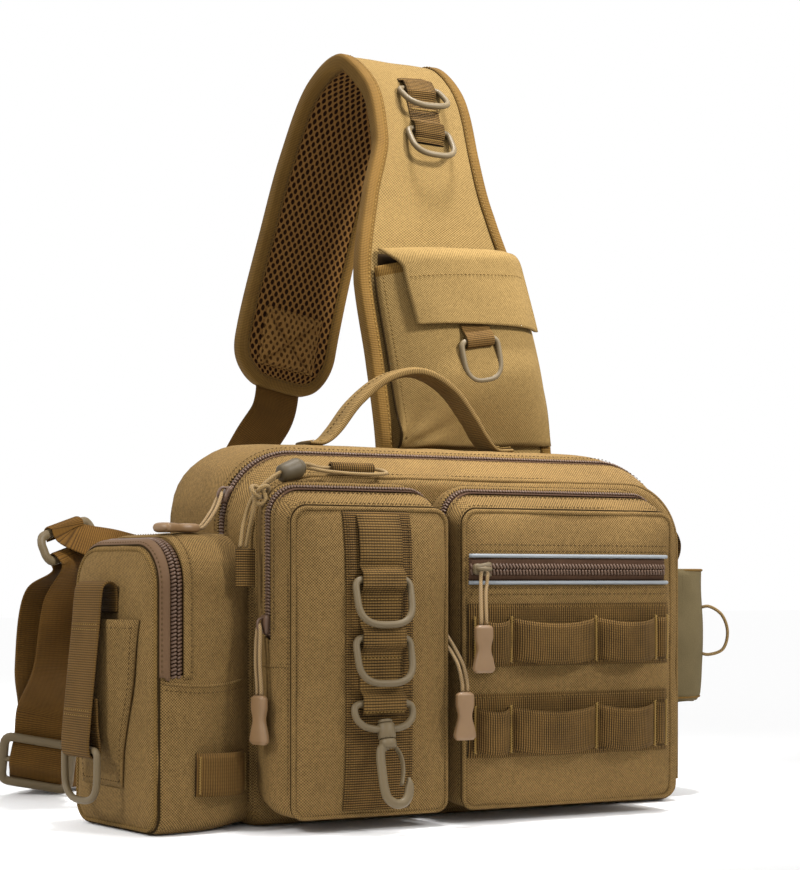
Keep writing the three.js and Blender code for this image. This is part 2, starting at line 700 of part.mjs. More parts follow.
// Phone pocket: a puffed panel sewn to the strap at both sides and below, open above under its flap.
const phone = { low: 239, mouth: 356, left: -0.78, right: 0.9, puff: 21, wall: 1.6, seam: 6.6 };
const phoneAcross = (s, u) => mix(phone.left, phone.right, u) * strapWidth(s);
const phoneLift = (u, v) => {
  const across = 1 - Math.pow(Math.abs(2 * u - 1), 3.2);
  return phone.seam + phone.puff * across * Math.pow(smooth(v, 0, 0.42), 0.6);
};
const grid = (rows, cols, point) => Array.from({ length: rows + 1 }, (_, i) => (
  Array.from({ length: cols + 1 }, (_, j) => point(i / rows, j / cols))
));
const phonePoint = (u, v, lift) => {
  const s = strapAt(mix(phone.low, phone.mouth, v));
  return strapPoint(s, phoneAcross(s, u), phoneLift(u, v) + lift);
};
add('phone_pocket', sheet(
  grid(8, 6, (u, v) => phonePoint(u, v, phone.wall)),
  grid(8, 6, (u, v) => phonePoint(u, v, 0)),
), 'cloth');
const flap = { top: 377, lowLeft: 326, lowRight: 311, rise: 6, thick: 1.5 };
const flapEdge = { leftTop: -0.7, leftLow: -0.46, right: 0.92 };
const flapLeft = (z) => {
  const up = Math.max(z - flap.lowLeft, 0) / (flap.top - flap.lowLeft);
  return mix(flapEdge.leftLow, flapEdge.leftTop, up);
};
const flapLift = (u, z) => {
  const over = Math.min((z - phone.low) / (phone.mouth - phone.low), 1);
  const side = mix(flapLeft(z), flapEdge.right, u);
  const place = (side - phone.left) / (phone.right - phone.left);
  const puffed = phoneLift(Math.min(place, 1), over) + flap.rise;
  return mix(puffed, phone.seam, smooth(z, phone.mouth + 2, flap.top));
};
const flapPoint = (u, v, lift) => {
  const z = mix(flap.top, mix(flap.lowLeft, flap.lowRight, u), v);
  const s = strapAt(z);
  return strapPoint(s, mix(flapLeft(z), flapEdge.right, u) * strapWidth(s), flapLift(u, z) + lift);
};
add('phone_flap', sheet(
  grid(6, 8, (u, v) => flapPoint(u, v, flap.thick)),
  grid(6, 8, (u, v) => flapPoint(u, v, 0)),
), 'cloth');

const phoneBarZ = 309;
const phoneX = 0.06;
const phoneSpot = (z, lift, aside = 0) => {
  const s = strapAt(z);
  const across = phoneX + aside / strapWidth(s);
  const place = (across - phone.left) / (phone.right - phone.left);
  const v = (z - phone.low) / (phone.mouth - phone.low);
  return strapPoint(s, across * strapWidth(s), phoneLift(place, v) + phone.wall + lift);
};
const phoneSide = phoneSpot(316, 0, 11).sub(phoneSpot(316, 0, -11)).normalize();
const phoneTab = new THREE.CatmullRomCurve3([
  phoneSpot(336, 1.4), phoneSpot(324, 1.4), phoneSpot(317, 3), phoneSpot(312, 6.4), phoneSpot(308.5, 7.3),
  phoneSpot(305, 5.6), phoneSpot(305, 2.6), phoneSpot(308.4, 1.1), phoneSpot(312.5, 1),
]);
add('phone_tab', strip(phoneTab, 17, () => phoneSide.clone(), 22, 1.2), 'webbing');
const phoneDown = phoneSpot(280, 4).sub(phoneSpot(phoneBarZ, 4.1)).normalize();
add('phone_ring', dRing(29, 28, seat(phoneSpot(phoneBarZ, 4.2), phoneSide, phoneDown)), 'moulding');

// Two rings high on the strap, under one webbing tab.
const tabBars = [497, 466];
const tabAcross = 0;
const tabSeat = 4.4 + seamGap;
const tabLift = (z) => {
  const near = Math.min(...tabBars.map((bar) => Math.abs(z - bar)));
  return tabSeat + overBar * (1 - smooth(near, 3.4, 8));
};
const tabPoint = (u, v, lift) => {
  const z = mix(456, 506, v);
  return strapPoint(strapAt(z), tabAcross + mix(-12, 12, u), tabLift(z) + lift);
};
add('strap_tab', sheet(
  grid(1, 20, (u, v) => tabPoint(u, v, webThick)),
  grid(1, 20, (u, v) => tabPoint(u, v, 0)),
), 'webbing');
const tabNames = ['strap_ring_upper', 'strap_ring_lower'];
tabBars.forEach((z, i) => {
  const s = strapAt(z);
  const at = strapPoint(s, tabAcross, tabSeat + barRadius + seamGap);
  const down = strapCurve.getTangent(s).negate().addScaledVector(strapOut(s), 0.34);
  add(tabNames[i], dRing(33, 26, seat(at, strapSide(s), down)), 'moulding');
});

// Lower webbing of the strap: slide ring at the bag's left, adjuster on the floor, up to the pad.
const slideAt = vec(-208, 92, 172);
const slideSide = vec(0.86, 0.42, 0.28).normalize();
const slidePlace = seat(slideAt, slideSide, vec(0.3, -0.1, -0.95));
function frameCurve(width, height) {
  const radius = 5;
  const points = [];
  for (const [sx, sz, start] of [[1, 1, 0], [-1, 1, 90], [-1, -1, 180], [1, -1, 270]]) {
    for (let i = 0; i <= 2; i += 1) {
      const angle = THREE.MathUtils.degToRad(start + 45 * i);
      const x = sx * (width / 2 - radius) + radius * Math.cos(angle);
      points.push(vec(x, 0, sz * (height / 2 - radius) + radius * Math.sin(angle)));
    }
    const next = THREE.MathUtils.degToRad(start + 90);
    points.push(vec((width / 2) * Math.cos(next), 0, (height / 2) * Math.sin(next)));
  }
  return new THREE.CatmullRomCurve3(points, true, 'catmullrom', 0.3);
}
const slideSize = { width: 45, height: 17 };
const slideWire = wire(frameCurve(slideSize.width, slideSize.height), 20, 2.4, 6, true);
add('strap_slide', slideWire.applyMatrix4(slidePlace), 'moulding');
const glideAt = vec(-206, 166, 22);
const glideSide = vec(0.87, -0.45, -0.16).normalize();
const glidePlace = seat(glideAt, glideSide, vec(-0.1, 0.42, -0.9));
const glideSize = { width: 46, height: 33 };
const glideFrame = toSolid(wire(frameCurve(glideSize.width, glideSize.height), 20, 2.4, 6, true));
const glideBar = toSolid(new THREE.CylinderGeometry(2, 2, glideSize.width, 8).rotateZ(Math.PI / 2));
add('strap_adjuster', toGeometry(glideFrame.add(glideBar)).applyMatrix4(glidePlace), 'moulding');

const inSlide = (y, z) => vec(0, y, z).applyMatrix4(slidePlace);
const inGlide = (y, z) => vec(0, y, z).applyMatrix4(glidePlace);
const low = -slideSize.height / 2;
const webRows = [
  [inGlide(3.5, 1), 1], [inGlide(6, 8), 1], [inGlide(8.6, 17), 1], [inGlide(10, 34), 0.9],
  [vec(-213, 132, 92), 0.6], [vec(-214, 113, 142), 0.25], [inSlide(5, low - 6), 0],
  [inSlide(4.3, low + 1), 0], [inSlide(1.6, low + 4.1), 0], [inSlide(-1.6, low + 4.1), 0],
  [inSlide(-4.3, low + 1), 0], [inSlide(-5, low - 6), 0], [vec(-206, 99, 136), 0.25],
  [vec(-206, 114, 90), 0.6], [inGlide(4.8, 34), 0.9], [inGlide(4.6, 17), 1], [inGlide(0, 8.2), 1],
  [inGlide(-4.2, 0), 1], [inGlide(0, -8.2), 1], [inGlide(4.6, -16.5), 1], [vec(-193, 188, 4.6), 0.9],
  [vec(-172, 206, 5), 0.6], [vec(-142, 219, 30), 0.3], [vec(-96, 228, 98), 0.1], [vec(-52, 233, 184), 0],
  [vec(-14, 235.2, 250), 0], [vec(1, 235, 273), 0], [vec(4.93, 235, 289.6), 0],
];
const webCurve = new THREE.CatmullRomCurve3(webRows.map(([point]) => point));
const sideCurve = new THREE.CatmullRomCurve3(webRows.map(([, share], i) => (
  i < 16 ? slideSide.clone().lerp(glideSide, share) : vec(1, 0, i > 24 ? 0 : 0.4).lerp(glideSide, share)
)));
add('strap_webbing', strip(webCurve, 66, (t) => sideCurve.getPoint(t), 36, 1.4), 'webbing');
const high = slideSize.height / 2;
const ontoBack = meets(mainOuter, vec(0, -1, 0));
const anchorFoot = (x, z) => ontoBack(vec(x, 200, z)).add(vec(0, 2 * layGap + webThick / 2, 0));
const anchorCurve = new THREE.CatmullRomCurve3([
  anchorFoot(-124, 156), anchorFoot(-138, 157), vec(-160, 70, 160), vec(-182, 79, 168),
  inSlide(-4.6, high - 4), inSlide(-4.2, high + 2), inSlide(0, high + 4.2), inSlide(4.2, high + 1.5),
  inSlide(4, high - 4.5),
]);
const anchorSide = new THREE.CatmullRomCurve3([
  vec(0, 0, 1), vec(0, 0, 1), vec(0.2, 0.2, 1), vec(0.6, 0.4, 0.8),
  slideSide, slideSide, slideSide, slideSide, slideSide,
]);
add('strap_anchor', strip(anchorCurve, 20, (t) => anchorSide.getPoint(t), 28, 1.4), 'webbing');

// Carry handle: webbing folded double in the middle, single where it is sewn down.
const handleRows = table(['x', 'y', 'z', 'wide', 'thick'], [
  [-81, 12, 234.6, 12, 0.8],
  [-71, 12, 234.9, 12, 1],
  [-63, 12, 237.2, 11, 1.8],
  [-56, 12, 244, 9.4, 2.8],
  [-41, 13, 262, 8.8, 3.1],
  [-18, 14, 279, 8.8, 3.1],
  [6, 14, 284, 8.8, 3.1],
  [28, 13, 274, 8.8, 3.1],
  [45, 12, 254, 9.2, 2.8],
  [53, 12, 242, 10.6, 2],
  [61, 12, 235.1, 12, 1],
  [73, 12, 234.6, 12, 0.8],
]);
const handleCurve = new THREE.CatmullRomCurve3(handleRows.map(({ x, y, z }) => vec(x, y, z)));
const handleSize = new THREE.CatmullRomCurve3(handleRows.map(({ wide, thick }) => vec(wide, thick, 0)));
const handleRings = Array.from({ length: 17 }, (_, i) => {
  const t = i / 16;
  const tangent = handleCurve.getTangent(t);
  const side = vec(0, 1, 0).addScaledVector(tangent, -tangent.y).normalize();
  const normal = vec(0, 0, 0).crossVectors(side, tangent);
  const size = handleSize.getPoint(t);
  return Array.from({ length: 8 }, (_, j) => {
    const angle = (2 * Math.PI * j) / 8;
    return handleCurve.getPoint(t).addScaledVector(side, size.x * Math.cos(angle))
      .addScaledVector(normal, size.y * Math.sin(angle));
  });
});
add('carry_handle', loft(handleRings), 'webbing');

// Drawcord: a webbing tunnel on the front edge, the doubled cord, its lock and a tab.
const tunnelAt = { left: -95, right: -66, y: -62.2, z: 214.6 };
const pipe = (radius, from, to) => toSolid(new THREE.CylinderGeometry(radius, radius, to - from, 14)
  .rotateZ(Math.PI / 2).translate((from + to) / 2, tunnelAt.y, tunnelAt.z));
add('draw_tunnel', toGeometry(pipe(3.6, tunnelAt.left, tunnelAt.right)
  .subtract(pipe(2.2, tunnelAt.left - 5, tunnelAt.right + 5))), 'webbing');
const lockAt = vec(-126, -72, 211.6);
const lockRun = vec(0.93, 0.16, 0.32).normalize();
const lockSide = vec(0, 0.8, -0.6).projectOnPlane(lockRun).normalize();
const lockPlace = new THREE.Matrix4()
  .makeBasis(lockSide, vec(0, 0, 0).crossVectors(lockRun, lockSide), lockRun).setPosition(lockAt);
const lockBarrel = new THREE.CylinderGeometry(6.2, 5.4, 15, 14).rotateX(Math.PI / 2);
const lockBore = new THREE.BoxGeometry(7.4, 3.4, 30);
const lockSolid = toSolid(lockBarrel).subtract(toSolid(lockBore));
add('cord_lock', toGeometry(lockSolid).applyMatrix4(lockPlace), 'moulding');
const inLock = (side, run) => vec(side, 0, run).applyMatrix4(lockPlace);
const drawCord = new THREE.CatmullRomCurve3([
  vec(-155, -73, 166), vec(-152, -74, 182), vec(-148, -76, 199), inLock(-1.9, -10),
  inLock(-1.9, 0), inLock(-1.9, 10), vec(-104, -64.8, 214.6),
  vec(-96, tunnelAt.y, tunnelAt.z), vec(-80, tunnelAt.y, tunnelAt.z),
  vec(-66, tunnelAt.y, tunnelAt.z), vec(-60.5, -64.6, 213.6), vec(-60, -69, 212), vec(-66, -71.4, 211),
  vec(-84, -72, 210.8), vec(-102, -71, 212), inLock(1.9, 10), inLock(1.9, 0), inLock(1.9, -10),
  vec(-149, -72, 197), vec(-155, -70.4, 181), vec(-158.6, -73, 166),
]);
add('draw_cord', wire(drawCord, 42, cordRadius, 8), 'cord');
const drawTabAt = ontoSide(vec(-158, -200, 154));
add('draw_tab', new THREE.BoxGeometry(12, 3, 22).translate(-156.6, drawTabAt.y - 8.4, 154), 'webbing');

// Zip pulls: a cord loop through the slider and a waisted moulded end.
const pullRows = table(['at', 'wide', 'thick'], [
  [0, 4, 2.2],
  [2, 5.8, 2.9],
  [7, 5.9, 3],
  [14, 4.5, 2.7],
  [21, 6.2, 3.1],
  [26, 7.2, 3.2],
  [28.4, 5.8, 2.2],
]);
const pulls = [
  { name: 'main', top: vec(-174, -41, 177.6), run: vec(-0.9, -0.36, 0), side: vec(-0.36, 0.9, 0),
    cord: [vec(-160, -35, 188), vec(-152.6, -28.4, 198.2)], bail: vec(0, 1, 0) },
  { name: 'middle', top: vec(-153, -88, 80), run: vec(0, 0, -1), side: vec(0.3, -0.95, 0),
    cord: [vec(-153.6, -87, 100), vec(-151.5, -84, 119)], bail: vec(0, -1, 0) },
  { name: 'right', top: vec(-32, -116, 80), run: vec(0, 0, -1), side: vec(1, 0, 0),
    cord: [vec(-33, -112, 97), vec(-35, -87.6, 119)], bail: vec(0, -0.7, 0.7) },
  { name: 'face', top: vec(-23, -123, 120), run: vec(0, 0, -1), side: vec(1, 0, 0),
    cord: [vec(-21, -119, 138), vec(-17, -113.6, 152)], bail: vec(1, 0, 0) },
];
for (const { name, top, run, side, cord, bail } of pulls) {
  run.normalize();
  side.addScaledVector(run, -side.dot(run)).normalize();
  const flat = vec(0, 0, 0).crossVectors(run, side);
  add(`${name}_pull`, loft(pullRows.map(({ at, wide, thick }) => Array.from({ length: 8 }, (_, j) => {
    const angle = (2 * Math.PI * j) / 8;
    return top.clone().addScaledVector(run, at).addScaledVector(side, wide * Math.cos(angle))
      .addScaledVector(flat, thick * Math.sin(angle));
  }))), 'pull');
  const strand = (sign) => [
    top.clone().addScaledVector(run, -0.35).addScaledVector(side, 1.7 * sign),
    top.clone().addScaledVector(run, -4).addScaledVector(side, 1.7 * sign),
    cord[0].clone().addScaledVector(side, 1.7 * sign),
    cord[1].clone().addScaledVector(bail, 1.9 * sign),
  ];
  const bend = cord[1].clone().addScaledVector(cord[1].clone().sub(cord[0]).normalize(), 2.4);
  const loop = new THREE.CatmullRomCurve3([...strand(-1), bend, ...strand(1).reverse()]);
  add(`${name}_pull_cord`, wire(loop, 14, cordRadius, 8), 'cord');
}

export default bag;
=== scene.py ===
import math

import bpy
from mathutils import Matrix, Vector, noise
from mathutils.bvhtree import BVHTree


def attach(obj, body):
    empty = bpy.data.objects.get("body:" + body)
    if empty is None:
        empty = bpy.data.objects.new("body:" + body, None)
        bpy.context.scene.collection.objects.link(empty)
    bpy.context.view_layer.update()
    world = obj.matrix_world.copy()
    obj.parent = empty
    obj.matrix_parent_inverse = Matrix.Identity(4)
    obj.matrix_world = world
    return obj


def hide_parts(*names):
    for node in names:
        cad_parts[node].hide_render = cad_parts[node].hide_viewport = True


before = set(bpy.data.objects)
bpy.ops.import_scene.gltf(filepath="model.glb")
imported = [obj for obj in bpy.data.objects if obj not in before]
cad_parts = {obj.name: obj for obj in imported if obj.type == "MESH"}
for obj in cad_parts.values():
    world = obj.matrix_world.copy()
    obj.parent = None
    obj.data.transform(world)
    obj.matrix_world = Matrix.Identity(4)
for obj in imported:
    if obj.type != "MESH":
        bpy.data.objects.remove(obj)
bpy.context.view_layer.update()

mm = 0.001  # all sizes below are in millimetres


def vec(x, y, z):
    return Vector((x, y, z))


toRight, toBack, toTop = vec(1, 0, 0), vec(0, 1, 0), vec(0, 0, 1)
toLeft, toFront, toFloor = vec(-1, 0, 0), vec(0, -1, 0), vec(0, 0, -1)


def mix(a, b, t):
    return a + (b - a) * t


def spread(low, high, count):
    return [mix(low, high, k / count) for k in range(count + 1)]


def ease(x, low, high):
    t = min(max((x - low) / (high - low), 0.0), 1.0)
    return t * t * (3 - 2 * t)


def bell(x, middle, width):
    return math.exp(-((x - middle) / width) ** 2)


def arch(t, power):
    return max(math.sin(math.pi * t), 0) ** power


def squared(value, power):
    return math.copysign(abs(value) ** power, value)


def tableOf(columns, rows):
    names = columns.split()
    return [dict(zip(names, row)) for row in rows]


# camera at the photo's angle, floor and soft light
view = {"at": (-0.6108, -1.1224, 0.148), "turn": -28, "lens": 87.75, "rise": 0.1788}
lens = bpy.data.cameras.new("camera")
lens.sensor_fit = "HORIZONTAL"
lens.sensor_width = 36
lens.lens = view["lens"]
lens.shift_y = view["rise"]
lens.clip_end = 50
camera = bpy.data.objects.new("camera", lens)
camera.location = view["at"]
camera.rotation_euler = (math.radians(90), 0, math.radians(view["turn"]))
bpy.context.scene.collection.objects.link(camera)
bpy.context.scene.camera = camera
bpy.context.scene.view_settings.view_transform = "Standard"

studio = {
    "air": 1.0,
    "beams": tableOf("name at aim spread size power", [
        ("key", (0.8, -1.5, 1.35), (0.06, 0.08, 0.44), 27, 0.2, 350),
        ("top", (0.1, -0.05, 1.9), (0.04, 0.02, 0.2), 17, 0.15, 360),
        ("left", (-1.5, -0.3, 1.0), (-0.2, -0.02, 0.14), 18, 0.2, 105),
    ]),
}
world = bpy.data.worlds.new("air")
world.use_nodes = True
world.node_tree.nodes["Background"].inputs[0].default_value = (1, 1, 1, 1)
world.node_tree.nodes["Background"].inputs[1].default_value = studio["air"]
bpy.context.scene.world = world
for row in studio["beams"]:
    beam = bpy.data.lights.new(row["name"], "SPOT")
    beam.spot_size = math.radians(row["spread"])
    beam.spot_blend = 1.0
    beam.shadow_soft_size = row["size"]
    beam.energy = row["power"]
    stand = bpy.data.objects.new(row["name"], beam)
    stand.location = row["at"]
    stand.rotation_euler = (Vector(row["aim"]) - stand.location).to_track_quat("-Z", "Y").to_euler()
    bpy.context.scene.collection.objects.link(stand)


# materials: every weave reads the "Weave" map, which is in millimetres
def newLook(name, rough, shine, sheen=0.0):
    look = bpy.data.materials.new(name)
    look.use_nodes = True
    shader = look.node_tree.nodes["Principled BSDF"]
    shader.inputs["Roughness"].default_value = rough
    shader.inputs["Specular IOR Level"].default_value = shine
    shader.inputs["Sheen Weight"].default_value = sheen
    return look, look.node_tree, shader


def calc(tree, kind, a, b=None):
    node = tree.nodes.new("ShaderNodeMath")
    node.operation = kind
    for socket, value in zip(node.inputs, (a, b)):
        if isinstance(value, (int, float)):
            socket.default_value = value
        elif value is not None:
            tree.links.new(value, socket)
    return node.outputs[0]


def scaled(tree, value, gain, lift):
    return calc(tree, "ADD", calc(tree, "MULTIPLY", value, gain), lift)


def weaveAxes(tree):
    chart = tree.nodes.new("ShaderNodeUVMap")
    chart.uv_map = "Weave"
    parts = tree.nodes.new("ShaderNodeSeparateXYZ")
    tree.links.new(chart.outputs[0], parts.inputs[0])
    return parts.outputs[0], parts.outputs[1]


def ripple(tree, run, pitch):
    return calc(tree, "SINE", calc(tree, "MULTIPLY", run, 2 * math.pi / pitch))


def speckle(tree, scale, detail):
    place = tree.nodes.new("ShaderNodeTexCoord")
    node = tree.nodes.new("ShaderNodeTexNoise")
    node.inputs["Scale"].default_value = scale
    node.inputs["Detail"].default_value = detail
    tree.links.new(place.outputs["Object"], node.inputs["Vector"])
    return node.outputs[0]


def tint(tree, shader, share, dark, light):
    node = tree.nodes.new("ShaderNodeMix")
    node.data_type = "RGBA"
    tree.links.new(share, node.inputs[0])
    node.inputs[6].default_value = (*dark, 1)
    node.inputs[7].default_value = (*light, 1)
    tree.links.new(node.outputs[2], shader.inputs["Base Color"])


def relief(tree, shader, height, depth, strength):
    node = tree.nodes.new("ShaderNodeBump")
    node.inputs["Strength"].default_value = strength
    node.inputs["Distance"].default_value = depth * mm
    tree.links.new(height, node.inputs["Height"])
    tree.links.new(node.outputs[0], shader.inputs["Normal"])


def clothLook(name, dark, light, pitch, depth):
    look, tree, shader = newLook(name, 0.9, 0.08)
    u, v = weaveAxes(tree)
    weave = scaled(tree, calc(tree, "MULTIPLY", ripple(tree, u, pitch), ripple(tree, v, pitch)), 0.5, 0.5)
    cloud = scaled(tree, speckle(tree, 24, 4), 0.3, -0.15)
    fuzz = scaled(tree, speckle(tree, 520, 3), 0.6, -0.3)
    yarn = calc(tree, "ADD", weave, fuzz)
    tint(tree, shader, calc(tree, "ADD", yarn, cloud), dark, light)
    relief(tree, shader, yarn, depth, 0.8)
    return look


def webLook(name, dark, light, rib, lane, depth, sharp, grid):
    look, tree, shader = newLook(name, 0.8, 0.1)
    u, v = weaveAxes(tree)
    ribs = calc(tree, "POWER", calc(tree, "ABSOLUTE", ripple(tree, v, rib * 2)), sharp)
    lanes = calc(tree, "POWER", calc(tree, "ABSOLUTE", ripple(tree, u, lane * 2)), 0.6)
    weave = calc(tree, "MULTIPLY", ribs, scaled(tree, lanes, grid, 1 - grid))
    cloud = scaled(tree, speckle(tree, 60, 3), 0.5, -0.25)
    tint(tree, shader, calc(tree, "ADD", weave, cloud), dark, light)
    relief(tree, shader, weave, depth, 0.8)
    return look


def meshLook(name, dark, light, across, along, hole):
    look, tree, shader = newLook(name, 0.9, 0.06)
    near, soft = [], 0.055
    for shift in (0.0, 0.5):  # two sets of holes, half a step apart
        squares = []
        for run, pitch in zip(weaveAxes(tree), (across, along)):
            step = calc(tree, "FRACT", calc(tree, "ADD", calc(tree, "DIVIDE", run, pitch), shift))
            away = calc(tree, "ADD", step, -0.5)
            squares.append(calc(tree, "MULTIPLY", away, away))
        near.append(calc(tree, "SQRT", calc(tree, "ADD", *squares)))
    opening = tree.nodes.new("ShaderNodeMapRange")
    opening.interpolation_type = "SMOOTHSTEP"
    opening.inputs[1].default_value = hole - soft
    opening.inputs[2].default_value = hole + soft
    tree.links.new(calc(tree, "MINIMUM", *near), opening.inputs[0])
    knit = calc(tree, "MULTIPLY", opening.outputs[0], scaled(tree, speckle(tree, 700, 2), 0.5, 0.75))
    tint(tree, shader, knit, dark, light)
    relief(tree, shader, knit, 1.6, 0.9)
    return look


def plainLook(name, dark, light, rough, grain, depth, shine):
    look, tree, shader = newLook(name, rough, shine)
    fine = speckle(tree, grain, 3)
    cloud = calc(tree, "MULTIPLY", speckle(tree, 40, 4), 0.6)
    tint(tree, shader, calc(tree, "ADD", cloud, calc(tree, "MULTIPLY", fine, 0.4)), dark, light)
    relief(tree, shader, fine, depth, 0.5)
    return look


def braidLook(name, dark, light):
    look, tree, shader = newLook(name, 0.7, 0.3, 0.1)
    u, v = weaveAxes(tree)
    strands = [ripple(tree, calc(tree, kind, u, v), 1.5) for kind in ("ADD", "SUBTRACT")]
    braid = scaled(tree, calc(tree, "MAXIMUM", *strands), 0.5, 0.5)
    tint(tree, shader, braid, dark, light)
    relief(tree, shader, braid, 0.35, 0.8)
    return look


looks = {}


def addLooks(make, columns, rows):
    for key, *values in rows:
        looks[key] = make(**dict(zip(columns.split(), values)))


addLooks(clothLook, "name dark light pitch depth", [
    ("cloth", "tan_cloth", (0.03, 0.0175, 0.0055), (0.26, 0.158, 0.056), 1.7, 0.5),
    ("strapCloth", "strap_cloth", (0.085, 0.053, 0.017), (0.258, 0.165, 0.059), 1.7, 0.3),
    ("baseCloth", "base_cloth", (0.045, 0.025, 0.007), (0.2, 0.12, 0.038), 1.9, 0.4),
])
addLooks(webLook, "name dark light rib lane depth sharp grid", [
    ("webbing", "tan_webbing", (0.003, 0.0016, 0.0005), (0.175, 0.096, 0.0265), 1.45, 1.5, 0.7, 1.5, 0.55),
    ("columnWeb", "column_webbing", (0.006, 0.0032, 0.0009), (0.17, 0.096, 0.028), 1.7, 1.8, 0.65, 1.1, 0.5),
    ("strapWeb", "strap_webbing", (0.033, 0.015, 0.0028), (0.113, 0.0535, 0.0092), 1.3, 3.0, 0.25, 0.8, 0.2),
    ("tapeWeb", "narrow_webbing", (0.03, 0.015, 0.0036), (0.11, 0.058, 0.0145), 1.4, 2.2, 0.4, 0.8, 0.3),
    ("handleWeb", "handle_webbing", (0.048, 0.0285, 0.0086), (0.185, 0.113, 0.0375),
     1.3, 3.2, 0.45, 0.8, 0.3),
    ("binding", "binding_tape", (0.052, 0.0255, 0.0052), (0.16, 0.087, 0.019), 1.2, 2.2, 0.25, 0.8, 0.3),
    ("tape", "zip_tape", (0.02, 0.01, 0.005), (0.08, 0.041, 0.023), 0.9, 1.6, 0.2, 0.8, 0.3),
])
addLooks(meshLook, "name dark light across along hole", [
    ("lining", "spacer_mesh", (0.014, 0.0052, 0.0012), (0.19, 0.093, 0.026), 5.2, 8.0, 0.255),
    ("patch", "sewn_mesh", (0.05, 0.0235, 0.006), (0.2, 0.104, 0.03), 5.2, 8.0, 0.2),
])
addLooks(plainLook, "name dark light rough grain depth shine", [
    ("moulding", "tan_moulding", (0.092, 0.0655, 0.0325), (0.131, 0.0955, 0.0485), 0.5, 260, 0.05, 0.26),
    ("lock", "lock_moulding", (0.04, 0.027, 0.01), (0.07, 0.049, 0.02), 0.55, 260, 0.05, 0.4),
    ("pull", "pull_moulding", (0.146, 0.083, 0.036), (0.195, 0.114, 0.052), 0.45, 200, 0.05, 0.4),
    ("coil", "zip_coil", (0.045, 0.0235, 0.0135), (0.14, 0.079, 0.046), 0.42, 500, 0.05, 0.34),
    ("band", "zip_band", (0.08, 0.043, 0.02), (0.12, 0.067, 0.033), 0.62, 900, 0.05, 0.15),
    ("trim", "grey_piping", (0.145, 0.157, 0.165), (0.22, 0.236, 0.246), 0.5, 500, 0.05, 0.4),
    ("loopCloth", "loop_cloth", (0.062, 0.047, 0.022), (0.155, 0.119, 0.061), 0.95, 1300, 0.6, 0.05),
    ("thread", "sewing_thread", (0.13, 0.076, 0.021), (0.2, 0.12, 0.036), 0.7, 900, 0.05, 0.1),
    ("goldThread", "tack_thread", (0.19, 0.112, 0.027), (0.28, 0.174, 0.045), 0.6, 900, 0.05, 0.2),
    ("darkThread", "dark_thread", (0.05, 0.028, 0.008), (0.09, 0.052, 0.016), 0.7, 900, 0.05, 0.1),
    # painted shade: near-black colour for thin tubes laid in seam creases
    ("crease", "crease", (0.016, 0.0092, 0.0028), (0.026, 0.015, 0.0048), 0.9, 700, 0.05, 0.05),
    # painted shade: near-black cloth for the sheet in the phone pocket's mouth
    ("inside", "inside_cloth", (0.012, 0.0065, 0.0025), (0.024, 0.0135, 0.005), 0.9, 700, 0.05, 0.05),
    ("floor", "pale_floor", (0.97, 0.97, 0.97), (0.985, 0.985, 0.985), 0.8, 30, 0.02, 0.0),
])
addLooks(braidLook, "name dark light", [
    ("cord", "braided_cord", (0.075, 0.044, 0.0125), (0.25, 0.157, 0.053)),
    ("paleCord", "pull_cord", (0.1, 0.06, 0.021), (0.27, 0.171, 0.07)),
])
print("camera, light and materials are made")


# mesh building
def chartBox(mesh, layer):
    for side in mesh.polygons:
        n = side.normal
        lead = max(range(3), key=lambda k: abs(n[k]))
        for corner in side.loop_indices:
            p = mesh.vertices[mesh.loops[corner].vertex_index].co / mm
            layer.data[corner].uv = ((p.y, p.z), (p.x, p.z), (p.x, p.y))[lead]


# one piece of the bag: its mesh, its look, the body empty it hangs from and the solids that it stands for
def addPiece(name, parts, look, nodes=(), body="bag"):
    points, faces, charts = parts
    mesh = bpy.data.meshes.new(name)
    mesh.from_pydata([p * mm for p in points], [], faces)
    layer = mesh.uv_layers.new(name="Weave")
    if charts is None:
        chartBox(mesh, layer)
    else:
        flat = [pair for chart in charts for pair in chart]
        for spot, pair in zip(layer.data, flat):
            spot.uv = pair
    mesh.polygons.foreach_set("use_smooth", [True] * len(mesh.polygons))
    mesh.update()
    piece = bpy.data.objects.new(name, mesh)
    bpy.context.scene.collection.objects.link(piece)
    mesh.materials.append(looks[look])
    if nodes:
        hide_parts(*nodes)
    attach(piece, body)
    return piece


def thicken(piece, wall):
    skin = piece.modifiers.new("wall", "SOLIDIFY")
    skin.thickness = wall * mm
    skin.offset = -1


def lengths(run):
    total = [0.0]
    for a, b in zip(run, run[1:]):
        total.append(total[-1] + (b - a).length)
    return total


def gridMesh(grid, closed=False, capped=False, across=None):
    rows, cols = len(grid), len(grid[0])
    points = [p for row in grid for p in row]
    middle = grid[rows // 2]
    u = across or lengths(middle + [middle[0]])
    v = lengths([row[cols // 2] for row in grid])
    faces, charts = [], []
    for i in range(rows - 1):
        for j in range(cols if closed else cols - 1):
            k = (j + 1) % cols
            faces.append((i * cols + j, i * cols + k, (i + 1) * cols + k, (i + 1) * cols + j))
            charts.append([(u[j], v[i]), (u[j + 1], v[i]), (u[j + 1], v[i + 1]), (u[j], v[i + 1])])
    if capped:
        for i, turn in ((0, -1), (rows - 1, 1)):
            face = [i * cols + j for j in range(cols)][::turn]
            faces.append(tuple(face))
            charts.append([(u[k % cols], v[i]) for k in face])
    return points, faces, charts


def joinMesh(parts):
    points, faces, charts = [], [], []
    for p, f, c in parts:
        base = len(points)
        points += p
        faces += [tuple(i + base for i in face) for face in f]
        charts += c
    return points, faces, charts


def placed(parts, matrix):
    points, faces, charts = parts
    return [matrix @ p for p in points], faces, charts


